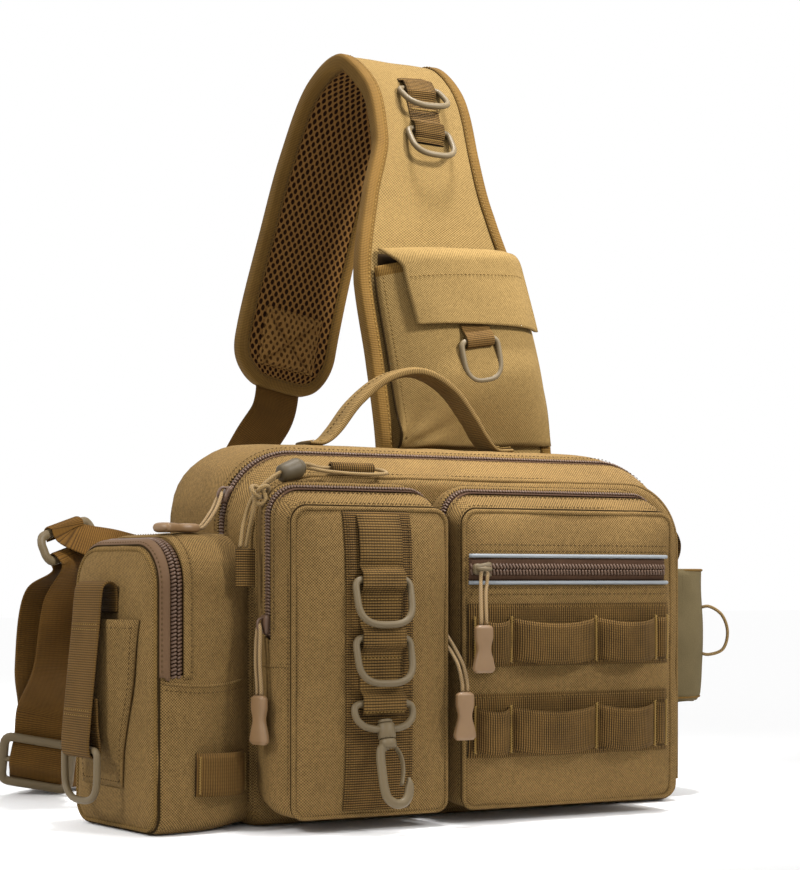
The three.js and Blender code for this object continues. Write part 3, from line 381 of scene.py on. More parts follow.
# smooth curve through points: centripetal, or with a given tension
def curvePoint(points, t, closed=False, tension=None):
    count = len(points)
    spot = (count if closed else count - 1) * t
    i = int(math.floor(spot))
    w = spot - i
    if closed:
        i %= count
    elif i >= count - 1:
        i, w = count - 2, 1.0
    p1, p2 = points[i], points[(i + 1) % count]
    p0 = points[i - 1] if closed or i > 0 else 2 * p1 - p2
    p3 = points[(i + 2) % count] if closed or i + 2 < count else 2 * p2 - p1
    if tension is None:
        d0, d1, d2 = ((b - a).length ** 0.5 for a, b in ((p0, p1), (p1, p2), (p2, p3)))
        d1 = d1 if d1 > 1e-4 else 1.0
        d0 = d0 if d0 > 1e-4 else d1
        d2 = d2 if d2 > 1e-4 else d1
        t1 = ((p1 - p0) / d0 - (p2 - p0) / (d0 + d1) + (p2 - p1) / d1) * d1
        t2 = ((p2 - p1) / d1 - (p3 - p1) / (d1 + d2) + (p3 - p2) / d2) * d1
    else:
        t1, t2 = tension * (p2 - p0), tension * (p3 - p1)
    return p1 + t1 * w + (3 * (p2 - p1) - 2 * t1 - t2) * w * w + (2 * (p1 - p2) + t1 + t2) * w ** 3


# index and share of the next step for each distance along a run
def walkAlong(total, goals):
    k = 0
    for goal in goals:
        while k < len(total) - 2 and total[k + 1] < goal:
            k += 1
        span = total[k + 1] - total[k]
        yield k, min((goal - total[k]) / span, 1.0) if span else 0.0


def evenly(fine, count):
    total = lengths(fine)
    goals = [total[-1] * i / (count - 1) for i in range(count)]
    return [fine[k].lerp(fine[k + 1], w) for k, w in walkAlong(total, goals)]


def curveRun(points, count, closed=False, tension=None):
    return evenly([curvePoint(points, t, closed, tension) for t in spread(0, 1, 600)], count)


def headings(run, closed=False):
    out = []
    last = len(run) - 1
    for i in range(len(run)):
        a = run[i - 1] if i or closed else run[0]
        b = run[(i + 1) % (last + 1)] if i < last or closed else run[last]
        out.append((b - a).normalized())
    return out


def ovalRing(middle, side, out, wide, thick, count, power=1.0):
    ring = []
    for j in range(count):
        a = 2 * math.pi * j / count
        ring.append(middle + side * (wide * squared(math.cos(a), power))
                    + out * (thick * squared(math.sin(a), power)))
    return ring


# round or flattened wire along a run; girth is one radius, or (side, normal) radii for each place
def tubeMesh(run, girth, sides=10, closed=False, side=None):
    ways = headings(run, closed)
    aside = side or (toTop if abs(ways[0].z) < 0.8 else toRight)
    grid = []
    for i, (p, way) in enumerate(zip(run, ways)):
        aside = (aside - way * aside.dot(way)).normalized()
        wide, thick = girth(i / (len(run) - 1)) if callable(girth) else (girth, girth)
        grid.append(ovalRing(p, aside, way.cross(aside), wide, thick, sides))
    if closed:
        points, faces, charts = gridMesh(grid + grid[:1], True)
        count = len(grid) * sides
        return points[:count], [tuple(i % count for i in face) for face in faces], charts
    return gridMesh(grid, True, True)


# flat webbing along a run, its width along sides
webTop = [(-0.96, 0.8), (-0.9, 1), (-0.45, 1), (0, 1), (0.45, 1), (0.9, 1), (0.96, 0.8)]
webProfile = [(-1, 0)] + webTop + [(1, 0)] + [(a, -b) for a, b in reversed(webTop)]


def webMesh(run, sides, width, thick):
    grid = []
    for p, side, way in zip(run, sides, headings(run)):
        side = (side - way * side.dot(way)).normalized()
        out = side.cross(way)
        grid.append([p + side * (a * width / 2) + out * (b * thick / 2) for a, b in webProfile])
    across = [a * width / 2 for a, b in webProfile] + [-width / 2]
    return gridMesh(grid, True, True, across)


# cloth or webbing laid over a grid of (point, out) pairs
def layMesh(cells, thick):
    rows, cols = len(cells), len(cells[0])
    grid = []
    for row in cells:
        ring = [p + out * thick * (0.55 if j in (0, cols - 1) else 1.0) for j, (p, out) in enumerate(row)]
        ring += [p for p, out in reversed(row)]
        grid.append(ring)
    u = lengths([p for p, out in cells[rows // 2]])
    return gridMesh(grid, True, True, u + u[::-1] + [0.0])


# shape turned round the local Z axis from (radius, height) pairs
def turnMesh(profile, sides=24, ring=False):
    rows = profile + profile[:1] if ring else profile
    return gridMesh([ovalRing(vec(0, 0, z), toRight, toBack, r, r, sides) for r, z in rows], True, not ring)


def treeOf(piece):
    mesh = piece.data
    points = [v.co / mm for v in mesh.vertices]
    return BVHTree.FromPolygons(points, [tuple(f.vertices) for f in mesh.polygons])


def cast(tree, start, way):
    point, normal, face, far = tree.ray_cast(start, way)
    if normal.dot(way) > 0:
        normal = -normal
    return point, normal


def ruffle(piece, size, width, seed, keep=None):
    for v in piece.data.vertices:
        p = v.co / mm
        broad = noise.noise(p / width + vec(seed, 0, 0))
        fine = noise.noise(p / (width * 0.45) + vec(0, seed, 0))
        share = keep(p) if keep else 1.0
        v.co += v.normal * (size * (broad + 0.5 * fine) * share * mm)
    piece.data.update()


def faceOut(piece, inside):
    mesh = piece.data
    away = sum(f.normal.dot(f.center / mm - inside(f.center / mm)) * f.area for f in mesh.polygons)
    if away < 0:
        mesh.flip_normals()


# where a test that starts true turns false
def turningPoint(test, low, high):
    for _ in range(50):
        half = (low + high) / 2
        if test(half):
            low = half
        else:
            high = half
    return low


# loft through rows of round-cornered boxes
def softRow(rows, t):
    last = len(rows) - 1
    i = min(int(t), last - 1)
    w = t - i
    out = {}
    for key in rows[0]:
        value = [row[key] for row in rows]

        def slope(k):
            if k in (0, last):
                return value[min(k + 1, last)] - value[max(k - 1, 0)]
            a, b = value[k] - value[k - 1], value[k + 1] - value[k]
            return 0.0 if a * b <= 0 else 2 * a * b / (a + b)

        m1, m2, rise = slope(i), slope(i + 1), value[i + 1] - value[i]
        out[key] = value[i] + m1 * w + (3 * rise - 2 * m1 - m2) * w * w + (m1 + m2 - 2 * rise) * w ** 3
    return out


def rowPlace(rows, at):
    down = rows[-1]["at"] < rows[0]["at"]
    return turningPoint(lambda t: (softRow(rows, t)["at"] > at) == down, 0.0, float(len(rows) - 1))


def rowPlaces(rows, step, cuts=()):
    spots = []
    for i, (a, b) in enumerate(zip(rows, rows[1:])):
        far = max(abs(b["at"] - a["at"]), 0.7 * abs(b["half"] - a["half"]), 0.5 * abs(b["high"] - a["high"]))
        count = max(2, math.ceil(far / step))
        spots += [i + k / count for k in range(count)]
    cutSpots = [rowPlace(rows, cut) for cut in cuts]
    spots = [s for s in spots if all(abs(s - c) > 0.06 for c in cutSpots)] + [float(len(rows) - 1)]
    return sorted(spots + cutSpots)


def loopOf(row, corner, wall, flat):
    half, low, high, foot, crown = (row[key] for key in ("half", "low", "high", "foot", "crown"))
    arcs = []
    for u, v, radius, turn in ((half - foot, low + foot, foot, -90), (half - crown, high - crown, crown, 0),
                               (crown - half, high - crown, crown, 90), (foot - half, low + foot, foot, 180)):
        bend = [math.radians(turn + 90 * s / corner) for s in range(corner + 1)]
        arcs.append([(u + radius * math.cos(a), v + radius * math.sin(a)) for a in bend])
    loop = []
    for k, arc in enumerate(arcs):
        a, b = arc[-1], arcs[(k + 1) % 4][0]
        steps = (wall, flat)[k % 2]
        loop += arc + [(mix(a[0], b[0], s / steps), mix(a[1], b[1], s / steps)) for s in range(1, steps)]
    return loop


# shell of cloth: a loft, split into pieces by a test on each face
def shellMesh(rows, spots, place, sort, corner, wall, flat):
    grid = []
    for row in (softRow(rows, t) for t in spots):
        grid.append([place(row, u, v) for u, v in loopOf(row, corner, wall, flat)])
    cols = len(grid[0])
    points = [p for row in grid for p in row]
    faces = [(i * cols + j, i * cols + (j + 1) % cols, (i + 1) * cols + (j + 1) % cols, (i + 1) * cols + j)
             for i in range(len(grid) - 1) for j in range(cols)]
    for i in (0, len(grid) - 1):
        ring = [i * cols + j for j in range(cols)]
        points.append(sum(grid[i], vec(0, 0, 0)) / cols)
        faces += [(ring[j], ring[(j + 1) % cols], len(points) - 1) for j in range(cols)]
    sets = {}
    for face in faces:
        name = sort(sum((points[k] for k in face), vec(0, 0, 0)) / len(face))
        if name:
            sets.setdefault(name, []).append(face)
    out = {}
    for name, kept in sets.items():
        used = sorted({k for face in kept for k in face})
        order = {k: n for n, k in enumerate(used)}
        out[name] = ([points[k] for k in used], [tuple(order[k] for k in face) for face in kept], None)
    return out


# run of (point, normal) along one row's loop, above a height
def loopRun(rows, at, place, low, push=0.0):
    row = softRow(rows, rowPlace(rows, at))
    loop = loopOf(row, 16, 60, 70)
    origin = place(row, 0, 0)
    out = []
    for k, (u, v) in enumerate(loop):
        a, b = loop[k - 1], loop[(k + 1) % len(loop)]
        way = Vector((b[0] - a[0], b[1] - a[1])).normalized()
        n = Vector((way.y, -way.x))
        p = place(row, u + n.x * push, v + n.y * push)
        out.append((p, (place(row, n.x, n.y) - origin).normalized()))
    if low is None:
        return out + out[:1]
    return [pair for pair in out if pair[0].z >= low]


# sewing: dashes of thread along runs of (point, normal), kept in one mesh for each thread
sewn = {"thread": [], "goldThread": [], "darkThread": []}


def dash(thread, middle, way, out, long, girth):
    side = way.cross(out)
    ends = [middle - way * (long / 2) - out * 0.12, middle + way * (long / 2) - out * 0.12]
    ring = [middle + side * girth, middle + out * girth, middle - side * girth, middle - out * girth]
    faces = []
    for k in range(4):
        faces += [(0, 2 + (k + 1) % 4, 2 + k), (1, 2 + k, 2 + (k + 1) % 4)]
    sewn[thread].append((ends + ring, faces, [[(0, 0)] * 3] * 8))


def stitch(run, thread="darkThread", pitch=3.0, long=2.2, girth=0.36, lift=0.1):
    points = [p for p, n in run]
    total = lengths(points)
    count = max(int(total[-1] / pitch), 1)
    for k, w in walkAlong(total, [total[-1] * (i + 0.5) / count for i in range(count)]):
        way = (points[k + 1] - points[k]).normalized()
        out = run[k][1].lerp(run[k + 1][1], w).normalized()
        dash(thread, points[k].lerp(points[k + 1], w) + out * lift, way, out, long, girth)


# bar tack: a dense zigzag across the end of a webbing
def tack(start, end, out, wide=2.2, girth=0.34):
    pitch, slant = 0.75, 0.35
    way = (end - start).normalized()
    side = way.cross(out)
    for i in range(int((end - start).length / pitch)):
        lean = (way * slant + side * (1 if i % 2 else -1)).normalized()
        dash("goldThread", start + way * (pitch * (i + 0.5)) + out * 0.2, lean, out, wide, girth)


def seamBead(name, run, girth, look="cloth", closed=False):
    line = [p for p, n in run]
    if closed:
        line = line[:-1]
    return addPiece(name, tubeMesh(line, girth, 8, closed), look)


# zips: a recessed tape, a two-row coil and a slider
def barMesh(a, b, girth, out, sides=6):
    way = (b - a).normalized()
    side = way.cross(out).normalized()
    up = side.cross(way)
    ends = ((0, 0.55), (0.12, 1), (0.88, 1), (1, 0.55))
    rings = [ovalRing(a.lerp(b, t), side, up, girth * share, girth * share, sides) for t, share in ends]
    return gridMesh(rings, True, True)


def zipPieces(name, run, across, coil, sunk=1.1, tapeHalf=6.2):
    profile = ((-1, 0.9), (-0.6, 0.5), (-0.15, 0), (0.15, 0), (0.6, 0.5), (1, 0.9))
    tapeGrid = [[p + across * (tapeHalf * a) - n * (sunk + drop) for a, drop in profile] for p, n in run]
    tape = addPiece(name + "_tape", gridMesh(tapeGrid), "tape", [name])
    faceOut(tape, lambda c: c - min(run, key=lambda r: (r[0] - c).length)[1])
    thicken(tape, 0.6)
    points = [p for p, n in run]
    total = lengths(points)
    goals = [coil["pitch"] * (i + 0.5) for i in range(int(total[-1] / coil["pitch"]))]
    parts = []
    for k, w in walkAlong(total, goals):
        way = (points[k + 1] - points[k]).normalized()
        out = run[k][1].lerp(run[k + 1][1], w).normalized()
        spot = points[k].lerp(points[k + 1], w) + out * (coil["girth"] * 0.6 - sunk)
        for sign in (-1, 1):
            lean = way * (coil["pitch"] * 0.25 * sign)
            near = spot + across * (sign * coil["inner"]) + out * coil["crown"] + lean
            far = spot + across * (sign * coil["half"]) - lean - out * 0.2
            parts.append(barMesh(near, far, coil["girth"], out))
    addPiece(name + "_coil", joinMesh(parts), "coil")


sliderShape = {
    "body": tableOf("run half high", [
        (-5.6, 1.6, 0.9), (-5.2, 2.6, 1.5), (-3.4, 3.2, 1.7), (-1.2, 3.0, 1.7),
        (1.4, 3.6, 1.8), (3.8, 4.2, 1.8), (5.2, 3.8, 1.5), (5.6, 3.0, 0.9)]),
    "bridge": ((-4.2, 1.2), (-3.9, 3.2), (-2.2, 4.7), (0.4, 5.0), (2.6, 4.4), (3.6, 3.0), (3.9, 1.2)),
}


def sliderPiece(name, at, way, out, scale=1.0, look="coil"):
    side = way.cross(out).normalized()
    rings = []
    for row in sliderShape["body"]:
        middle = at + way * (row["run"] * scale)
        rings.append(ovalRing(middle, side, out, row["half"] * scale, row["high"] * scale, 16, 0.55))
    body = gridMesh(rings, True, True)
    bow = curveRun([at + way * (a * scale) + out * (b * scale) for a, b in sliderShape["bridge"]], 24)
    bridge = tubeMesh(bow, lambda t: (1.15 * scale, 0.8 * scale), 10, side=side)
    addPiece(name, joinMesh([body, bridge]), look)


# pocket zips: how the slot is cut and where
def inSlot(cut, at, z):
    return abs(at - cut["zipAt"]) < cut["zipGap"] / 2 and z > cut["zipFoot"]


def slotCuts(cut):
    return [cut["zipAt"] + side * cut["zipGap"] / 2 for side in (-1, 0, 1)]


# cords come first: the same routes as the solids
def cordPiece(name, node, points, look, steps=None):
    run = curveRun(points, steps or max(40, int(lengths(points)[-1] / 1.6)))
    piece = addPiece(name, tubeMesh(run, 1.1, 12), look, [node])
    round(lengths(run)[-1] * mm, 4)


pullShape = {
    "rows": tableOf("at wide thick", [
        (0, 4, 2.2), (2, 5.8, 2.9), (7, 5.9, 3), (14, 4.5, 2.7),
        (21, 6.2, 3.1), (26, 7.2, 3.2), (28.4, 5.8, 2.2)]),
    "strand": 1.7, "turn": 1.9, "bend": 2.4, "steps": 56,
    "places": tableOf("name top run side near far bail", [
        ("main", (-174, -41, 177.6), (-0.9, -0.36, 0), (-0.36, 0.9, 0),
         (-160, -35, 188), (-152.6, -28.4, 198.2), (0, 1, 0)),
        ("middle", (-153, -88, 80), (0, 0, -1), (0.3, -0.95, 0),
         (-153.6, -87, 100), (-151.5, -84, 119), (0, -1, 0)),
        ("right", (-32, -116, 80), (0, 0, -1), (1, 0, 0),
         (-33, -112, 97), (-35, -87.6, 119), (0, -0.7, 0.7)),
        ("face", (-23, -123, 120), (0, 0, -1), (1, 0, 0),
         (-21, -119, 138), (-17, -113.6, 152), (1, 0, 0)),
    ]),
}
for row in pullShape["places"]:
    keys = ("top", "run", "side", "near", "far", "bail")
    top, run, side, near, far, bail = (Vector(row[key]) for key in keys)
    run.normalize()
    side = (side - run * side.dot(run)).normalized()
    flat = run.cross(side)
    grid = []
    for t in spread(0, 1, pullShape["steps"]):
        shape = softRow(pullShape["rows"], t * 6)
        power = 0.62 if 0.06 < t < 0.94 else 0.8
        middle = top + run * shape["at"]
        grid.append(ovalRing(middle, side, flat, shape["wide"], shape["thick"] * 0.94, 20, power))
    pull = row["name"] + "_pull"
    grip = addPiece(pull + "_grip", gridMesh(grid, True, True), "pull", [pull])
    strands = []
    for sign in (-1, 1):
        aside = side * (pullShape["strand"] * sign)
        strands.append([top + run * -0.35 + aside, top + run * -4 + aside, near + aside,
                        far + bail * (pullShape["turn"] * sign)])
    bend = far + (far - near).normalized() * pullShape["bend"]
    cordPiece(pull + "_loop", pull + "_cord", strands[0] + [bend] + strands[1][::-1], "paleCord")
print("zip pulls are made")

# drawcord: lock, tab, cord and knot
drawCut = {
    "lock": vec(-126, -72, 211.6), "run": vec(0.93, 0.16, 0.32).normalized(),
    "side": vec(0, 0.8, -0.6), "strand": 1.9,
    "barrel": ((-7.6, 3.4), (-7.4, 4.8), (-6.4, 5.7), (-3, 6.0), (1, 6.3), (4.5, 6.5), (6.4, 6.2), (7.3, 5.2),
               (7.6, 3.2)),
    "button": ((7.2, 4.4), (8.6, 4.5), (9.3, 4.0), (9.5, 2.4)),
    "tab": vec(-156.6, -75.9, 0), "tabHalf": 6, "tabRows": (143, 143.6, 147, 151, 154, 158, 161, 164.4, 165),
    "knot": vec(-147.5, -75.4, 197.5), "knotSize": 5, "tunnel": vec(-80.5, -62.2, 214.6),
}
lockRun = drawCut["run"]
lockSide = (drawCut["side"] - lockRun * drawCut["side"].dot(lockRun)).normalized()
lockOut = lockRun.cross(lockSide)


def inLock(side, run):
    return drawCut["lock"] + lockSide * side + lockRun * run


def lockMesh(rows, flat, count):
    rings = [ovalRing(inLock(0, run), lockSide, lockOut, wide, wide * flat, count) for run, wide in rows]
    return gridMesh(rings, True, True)


lockParts = joinMesh([lockMesh(drawCut["barrel"], 0.94, 28), lockMesh(drawCut["button"], 1, 20)])
lockPiece = addPiece("cord_lock_barrel", lockParts, "lock", ["cord_lock"])
tabLoop = ((-1, -0.6), (-0.9, -1.4), (0.9, -1.4), (1, -0.6), (1, 0.6), (0.9, 1.4), (-0.9, 1.4), (-1, 0.6))
tabGrid = []
for z in drawCut["tabRows"]:
    tabGrid.append([drawCut["tab"] + vec(a * drawCut["tabHalf"], b, z) for a, b in tabLoop])
drawTab = addPiece("draw_tab_fold", gridMesh(tabGrid, True, True), "webbing", ["draw_tab"])
tunnelY, tunnelZ = drawCut["tunnel"].y, drawCut["tunnel"].z
strand = drawCut["strand"]
cordPiece("draw_cord_run", "draw_cord", [
    vec(-155, -73, 166), vec(-152, -74, 182), vec(-148, -76, 199), inLock(-strand, -10), inLock(-strand, 0),
    inLock(-strand, 10), vec(-104, -64.8, 214.6), vec(-96, tunnelY, tunnelZ), vec(-80, tunnelY, tunnelZ),
    vec(-66, tunnelY, tunnelZ), vec(-60.5, -64.6, 213.6), vec(-60, -69, 212), vec(-66, -71.4, 211),
    vec(-84, -72, 210.8), vec(-102, -71, 212), inLock(strand, 10), inLock(strand, 0), inLock(strand, -10),
    vec(-149, -72, 197), vec(-155, -70.4, 181), vec(-158.6, -73, 166)], "cord", 200)
knotRun = []
for k in range(120):
    a = 2 * math.pi * k / 120
    turn = vec(math.sin(a) + 2 * math.sin(2 * a), math.sin(3 * a) * 1.1 - 0.6,
               math.cos(a) - 2 * math.cos(2 * a))
    knotRun.append(drawCut["knot"] + turn * (drawCut["knotSize"] / 2.4))
addPiece("draw_cord_knot", tubeMesh(knotRun, 1.3, 10, True), "cord")

# elastic loop on the corner of the right pouch
pouchCorner = {"x": 203.3, "y": -33.3, "in": vec(-1, 1, 0).normalized()}


def fromCorner(z, away):
    return vec(pouchCorner["x"], pouchCorner["y"], z) - pouchCorner["in"] * away


cordPiece("end_cord_loop", "end_cord", [
    fromCorner(128, 0.4), fromCorner(128.6, 5), vec(214, -42, 123), vec(218, -43.6, 111), vec(215, -42, 99),
    fromCorner(95.4, 5), fromCorner(96, 0.4)], "cord")
print("cords are made")

# main compartment
fineCoil = {"pitch": 2.0, "half": 3.0, "inner": 0.25, "girth": 0.76, "crown": 0.8}
mainBody = {
    "middle": 8, "inside": vec(8, 0, 110), "zipAt": -28, "zipFoot": 170, "zipGap": 9.2,
    "wall": 2, "baseTop": 9.2,
    "rows": tableOf("at half low high foot crown", [
        (-64, 60, 60, 150, 20, 20), (-64, 149, 6, 205, 8, 36), (-61, 154, 2, 209, 10, 40),
        (-50, 157, 0, 215, 10, 43), (-28, 160, 0, 226, 10, 46), (6, 161, 0, 233, 10, 48),
        (44, 161, 0, 234, 10, 46), (58, 158, 2, 229, 10, 44), (63, 153, 8, 221, 10, 38),
        (65, 60, 60, 150, 20, 20)]),
    "pieces": tableOf("key node look seed", [
        ("front", "main_front", "cloth", 3.1), ("back", "main_back", "cloth", 7.7),
        ("base", "base_panel", "baseCloth", 0)]),
    "slider": vec(-148.6, -28, 198.4), "shoulder": math.radians(27),
}
mainRows = mainBody["rows"]


def mainSort(p):
    if p.z < mainBody["baseTop"] and abs(p.y) < 63.5:
        return "base"
    if inSlot(mainBody, p.y, p.z):
        return None
    return "front" if p.y < mainBody["zipAt"] else "back"


def mainPlace(row, u, v):
    return vec(mainBody["middle"] + u, row["at"], v)


def mainLine(at, low, push=0.0):
    return loopRun(mainRows, at, mainPlace, low, push)


parts = shellMesh(mainRows, rowPlaces(mainRows, 8, slotCuts(mainBody)), mainPlace, mainSort, 10, 26, 36)
mainTrees = {}
for row in mainBody["pieces"]:
    piece = addPiece(row["node"] + "_cloth", parts[row["key"]], row["look"], [row["node"]])
    faceOut(piece, lambda c: mainBody["inside"])
    if row["key"] != "base":
        ruffle(piece, 1.0, 48, row["seed"],
               lambda p: ease(p.z, 8, 40) * ease(abs(p.y - mainBody["zipAt"]), 5, 16))
    mainTrees[row["key"]] = treeOf(piece)
    thicken(piece, mainBody["wall"])
zipPieces("main_zip", mainLine(mainBody["zipAt"], mainBody["zipFoot"] - 3), toBack, fineCoil)
rise, reach = math.cos(mainBody["shoulder"]), math.sin(mainBody["shoulder"])
sliderPiece("main_slider", mainBody["slider"], vec(reach, 0, rise), vec(-rise, 0, reach))
for side, at, inset in (("front", -60.5, 4), ("back", 60, -4)):
    seamBead("main_seam_" + side, mainLine(at, 12, 0.1), 1.25)
    stitch(mainLine(at + inset, 20, 0.25))
for gap in (-7.6, 7.6):
    stitch(mainLine(mainBody["zipAt"] + gap, 172, 0.55))
print("main compartment is made")

# left end pocket, made square to the bag and then turned to the front
leftPocket = {
    "hinge": vec(-153, -62, 0), "turn": math.radians(9), "inside": vec(-170, -18, 88),
    "zipAt": -201, "zipFoot": 91, "zipGap": 9.2, "wall": 2,
    "rows": tableOf("at front back low high foot crown", [
        (-128, -54, 26, 3, 174, 12, 30), (-150, -60, 29, 2, 175, 12, 32), (-162, -66, 31, 1, 176, 14, 34),
        (-182, -69, 33, 0, 174.5, 14, 30), (-198, -69, 32, 0, 171.5, 13, 27),
        (-209.5, -67.5, 30.5, 0.5, 168.5, 12, 25),
        (-213, -65, 28, 3, 164.5, 12, 23), (-215, -59, 22, 10, 156, 12, 20), (-217, -44, 7, 28, 134, 12, 18),
        (-218, -28, -9, 56, 106, 8, 8)]),
    "coil": {"pitch": 2.2, "half": 3.6, "inner": 0.3, "girth": 0.86, "crown": 0.9},
    "bands": tableOf("name look push ats", [
        ("left_zip_band", "band", 1.3, (-205.4, -206.2, -207.6, -209.2, -210.8, -212)),
        ("left_zip_hem", "cloth", 1.0, (-196.8, -195.6, -194, -192, -190.6))]),
    "bandFoot": 89, "bandWall": 0.9,
}
leftTurn = (Matrix.Translation(leftPocket["hinge"]) @ Matrix.Rotation(leftPocket["turn"], 4, "Z")
            @ Matrix.Translation(-leftPocket["hinge"]))
leftSpin = leftTurn.to_3x3()
leftRows = [dict(row, half=(row["back"] - row["front"]) / 2, middle=(row["back"] + row["front"]) / 2)
            for row in leftPocket["rows"]]


def leftPlace(row, u, v):
    return vec(row["at"], row["middle"] + u, v)


def leftSort(p):
    return None if inSlot(leftPocket, p.x, p.z) or p.x > -141 else "pocket"


def leftLine(at, low, push=0.0):
    return turnRun(loopRun(leftRows, at, leftPlace, low, push))


def turnRun(run):
    return [(leftTurn @ p, leftSpin @ n) for p, n in run]


leftSpots = rowPlaces(leftRows, 6, slotCuts(leftPocket))
leftMesh = shellMesh(leftRows, leftSpots, leftPlace, leftSort, 9, 30, 18)["pocket"]
leftCloth = addPiece("left_pocket_cloth", leftMesh, "cloth", ["left_pocket"])
faceOut(leftCloth, lambda c: leftPocket["inside"])
ruffle(leftCloth, 1.5, 46, 11.3,
       lambda p: ease(abs(p.x - leftPocket["zipAt"]), 6, 14) * ease(p.z, 4, 30) * ease(-p.x, 150, 162))
leftTree = treeOf(leftCloth)  # before the turn, so later pieces are laid square too
leftCloth.data.transform(Matrix.Scale(mm, 4) @ leftTurn @ Matrix.Scale(1 / mm, 4))
thicken(leftCloth, leftPocket["wall"])
leftZip = leftLine(leftPocket["zipAt"], leftPocket["zipFoot"] - 2)
zipPieces("left_zip", leftZip, leftSpin @ toRight, leftPocket["coil"])
for row in leftPocket["bands"]:  # smooth cloth on both sides of the zip
    lines = []
    for at in row["ats"]:
        push = row["push"] * (0.6 if at in (row["ats"][0], row["ats"][-1]) else 1)
        lines.append(evenly([p for p, n in leftLine(at, leftPocket["bandFoot"], push)], 90))
    band = addPiece(row["name"], gridMesh([list(cells) for cells in zip(*lines)]), row["look"])
    faceOut(band, lambda c: leftPocket["inside"])
    thicken(band, leftPocket["bandWall"])
stitch(leftLine(-191.8, 91, 1.05))
seamBead("left_end_piping", leftLine(-213, None, 0.2), 1.35, "baseCloth", True)
# near-black tube beside the end piping: painted shade of the seam's crease
seamBead("left_end_crease", leftLine(-211.4, None, 0.1), 0.75, "crease", True)
stitch(leftLine(-210.6, 93, 1.35))
lowSeam = []
for t in spread(0, 1, 25):
    p, n = cast(leftTree, vec(mix(-209, -152, t), -200, 88 - 2.5 * math.sin(t * math.pi)), toBack)
    lowSeam.append((p + n * 0.1, n))
seamBead("left_low_seam", turnRun(lowSeam), 0.95)
stitch(turnRun([(p + vec(0, 0, -4) + n * 0.3, n) for p, n in lowSeam]))

sleeveCut = {"top": 124, "low": 26, "frontTop": -54, "frontLow": -36,
             "backTop": 20, "backLow": 14, "thick": 1.5, "belly": 7}


def sleeveSpot(u, v, extra=0.0):
    front = mix(sleeveCut["frontLow"], sleeveCut["frontTop"], v)
    back = mix(sleeveCut["backLow"], sleeveCut["backTop"], v)
    p, n = cast(leftTree, vec(-300, mix(front, back, u), mix(sleeveCut["low"], sleeveCut["top"], v)), toRight)
    belly = arch(u, 0.7) * ease(v, 0, 0.35)
    fold = 1.6 * bell(u, 0.16, 0.05) * ease(v, 0.35, 0.9)
    crumple = 0.5 * noise.noise(vec(u * 3, v * 4, 2.2)) * belly
    return p + toLeft * (0.6 + sleeveCut["belly"] * belly - fold + crumple + extra), toLeft


sleeveCells = [[sleeveSpot(u, v) for v in spread(0, 1, 20)] for u in spread(0, 1, 28)]
addPiece("left_sleeve_cloth", placed(layMesh(sleeveCells, sleeveCut["thick"]), leftTurn), "cloth",
         ["left_sleeve"])
for u, v in ((0.035, None), (0.965, None), (None, 0.95), (None, 0.035)):
    stitch(turnRun([sleeveSpot(u or t, v or t, sleeveCut["thick"]) for t in spread(0.03, 0.97, 40)]))

hangerCut = {
    "y": -14, "width": 34, "thick": 1.6, "bar": vec(-233.5, -14, 48),
    "steps": 110, "seams": (121, 118, 71, 68),
    "route": ((-219.4, 143.6), (-223.6, 145.6), (-227.4, 143.4), (-229, 136), (-230.2, 122),
              (-233.2, 94), (-236.4, 62), (-237.2, 50), (-236.2, 45), (-233.4, 43.8),
              (-230.6, 45.2), (-229.8, 49), (-231.2, 62), (-231.8, 78)),
}
hangerFeet = [cast(leftTree, vec(-300, hangerCut["y"], z), toRight)[0] + toLeft * 1.4 for z in (128, 138)]
hangerPoints = hangerFeet + [vec(x, hangerCut["y"], z) for x, z in hangerCut["route"]]
hangerRun = curveRun(hangerPoints, hangerCut["steps"])
hangerMesh = webMesh(hangerRun, [toBack] * hangerCut["steps"], hangerCut["width"], hangerCut["thick"])
addPiece("left_hanger_webbing", placed(hangerMesh, leftTurn), "tapeWeb", ["left_hanger"])
for z in hangerCut["seams"]:
    x = min(hangerRun[20:80], key=lambda p: abs(p.z - z)).x - hangerCut["thick"] / 2
    stitch(turnRun([(vec(x, y, z), toLeft) for y in (-29.5, -14, 1.5)]), "goldThread", 2.4, 2.0)


# D ring: straight bar at the top, bow below; made in its own frame
def seat(at, right, down):
    up = (right * right.dot(down) - down).normalized()
    place = Matrix((right, up.cross(right), up)).transposed().to_4x4()
    place.translation = at
    return place


def ringPoints(width, height):
    r, bow, drop = 4, width / 2, height * 0.6
    points = [vec(bow - r + r * math.cos(a), 0, -r + r * math.sin(a)) for a in (math.pi / 2, math.pi / 4, 0)]
    for a in spread(0, math.pi, 16):
        across, fall = squared(math.cos(a), 0.7), squared(math.sin(a), 0.7)
        points.append(vec(bow * across, 0, drop - height - drop * fall))
    for a in (math.pi, math.pi * 0.75, math.pi / 2):
        points.append(vec(r - bow + r * math.cos(a), 0, -r + r * math.sin(a)))
    return points + [vec(0, 0, 0)]


def wireMesh(points, count, tension, girth):
    return tubeMesh(curveRun(points, count + 1, True, tension)[:-1], girth, 14, True, toBack)


def ringPiece(node, width, height, place):
    wire = wireMesh(ringPoints(width, height), 84, 0.35, 2.1)
    addPiece(node + "_wire", placed(wire, place), "moulding", [node], node)


ringPiece("left_ring", 40, 30, leftTurn @ seat(hangerCut["bar"], toFront, toFloor))

toolLoop = {"left": -189, "right": -152, "low": 22, "high": 47, "rise": 9, "thick": 1.6}


def toolSpot(u, v):
    x, z = mix(toolLoop["left"], toolLoop["right"], u), mix(toolLoop["low"], toolLoop["high"], v)
    p, n = cast(leftTree, vec(x, -200, z), toBack)
    return p + toFront * (0.3 + toolLoop["rise"] * arch(u, 0.6)), toFront


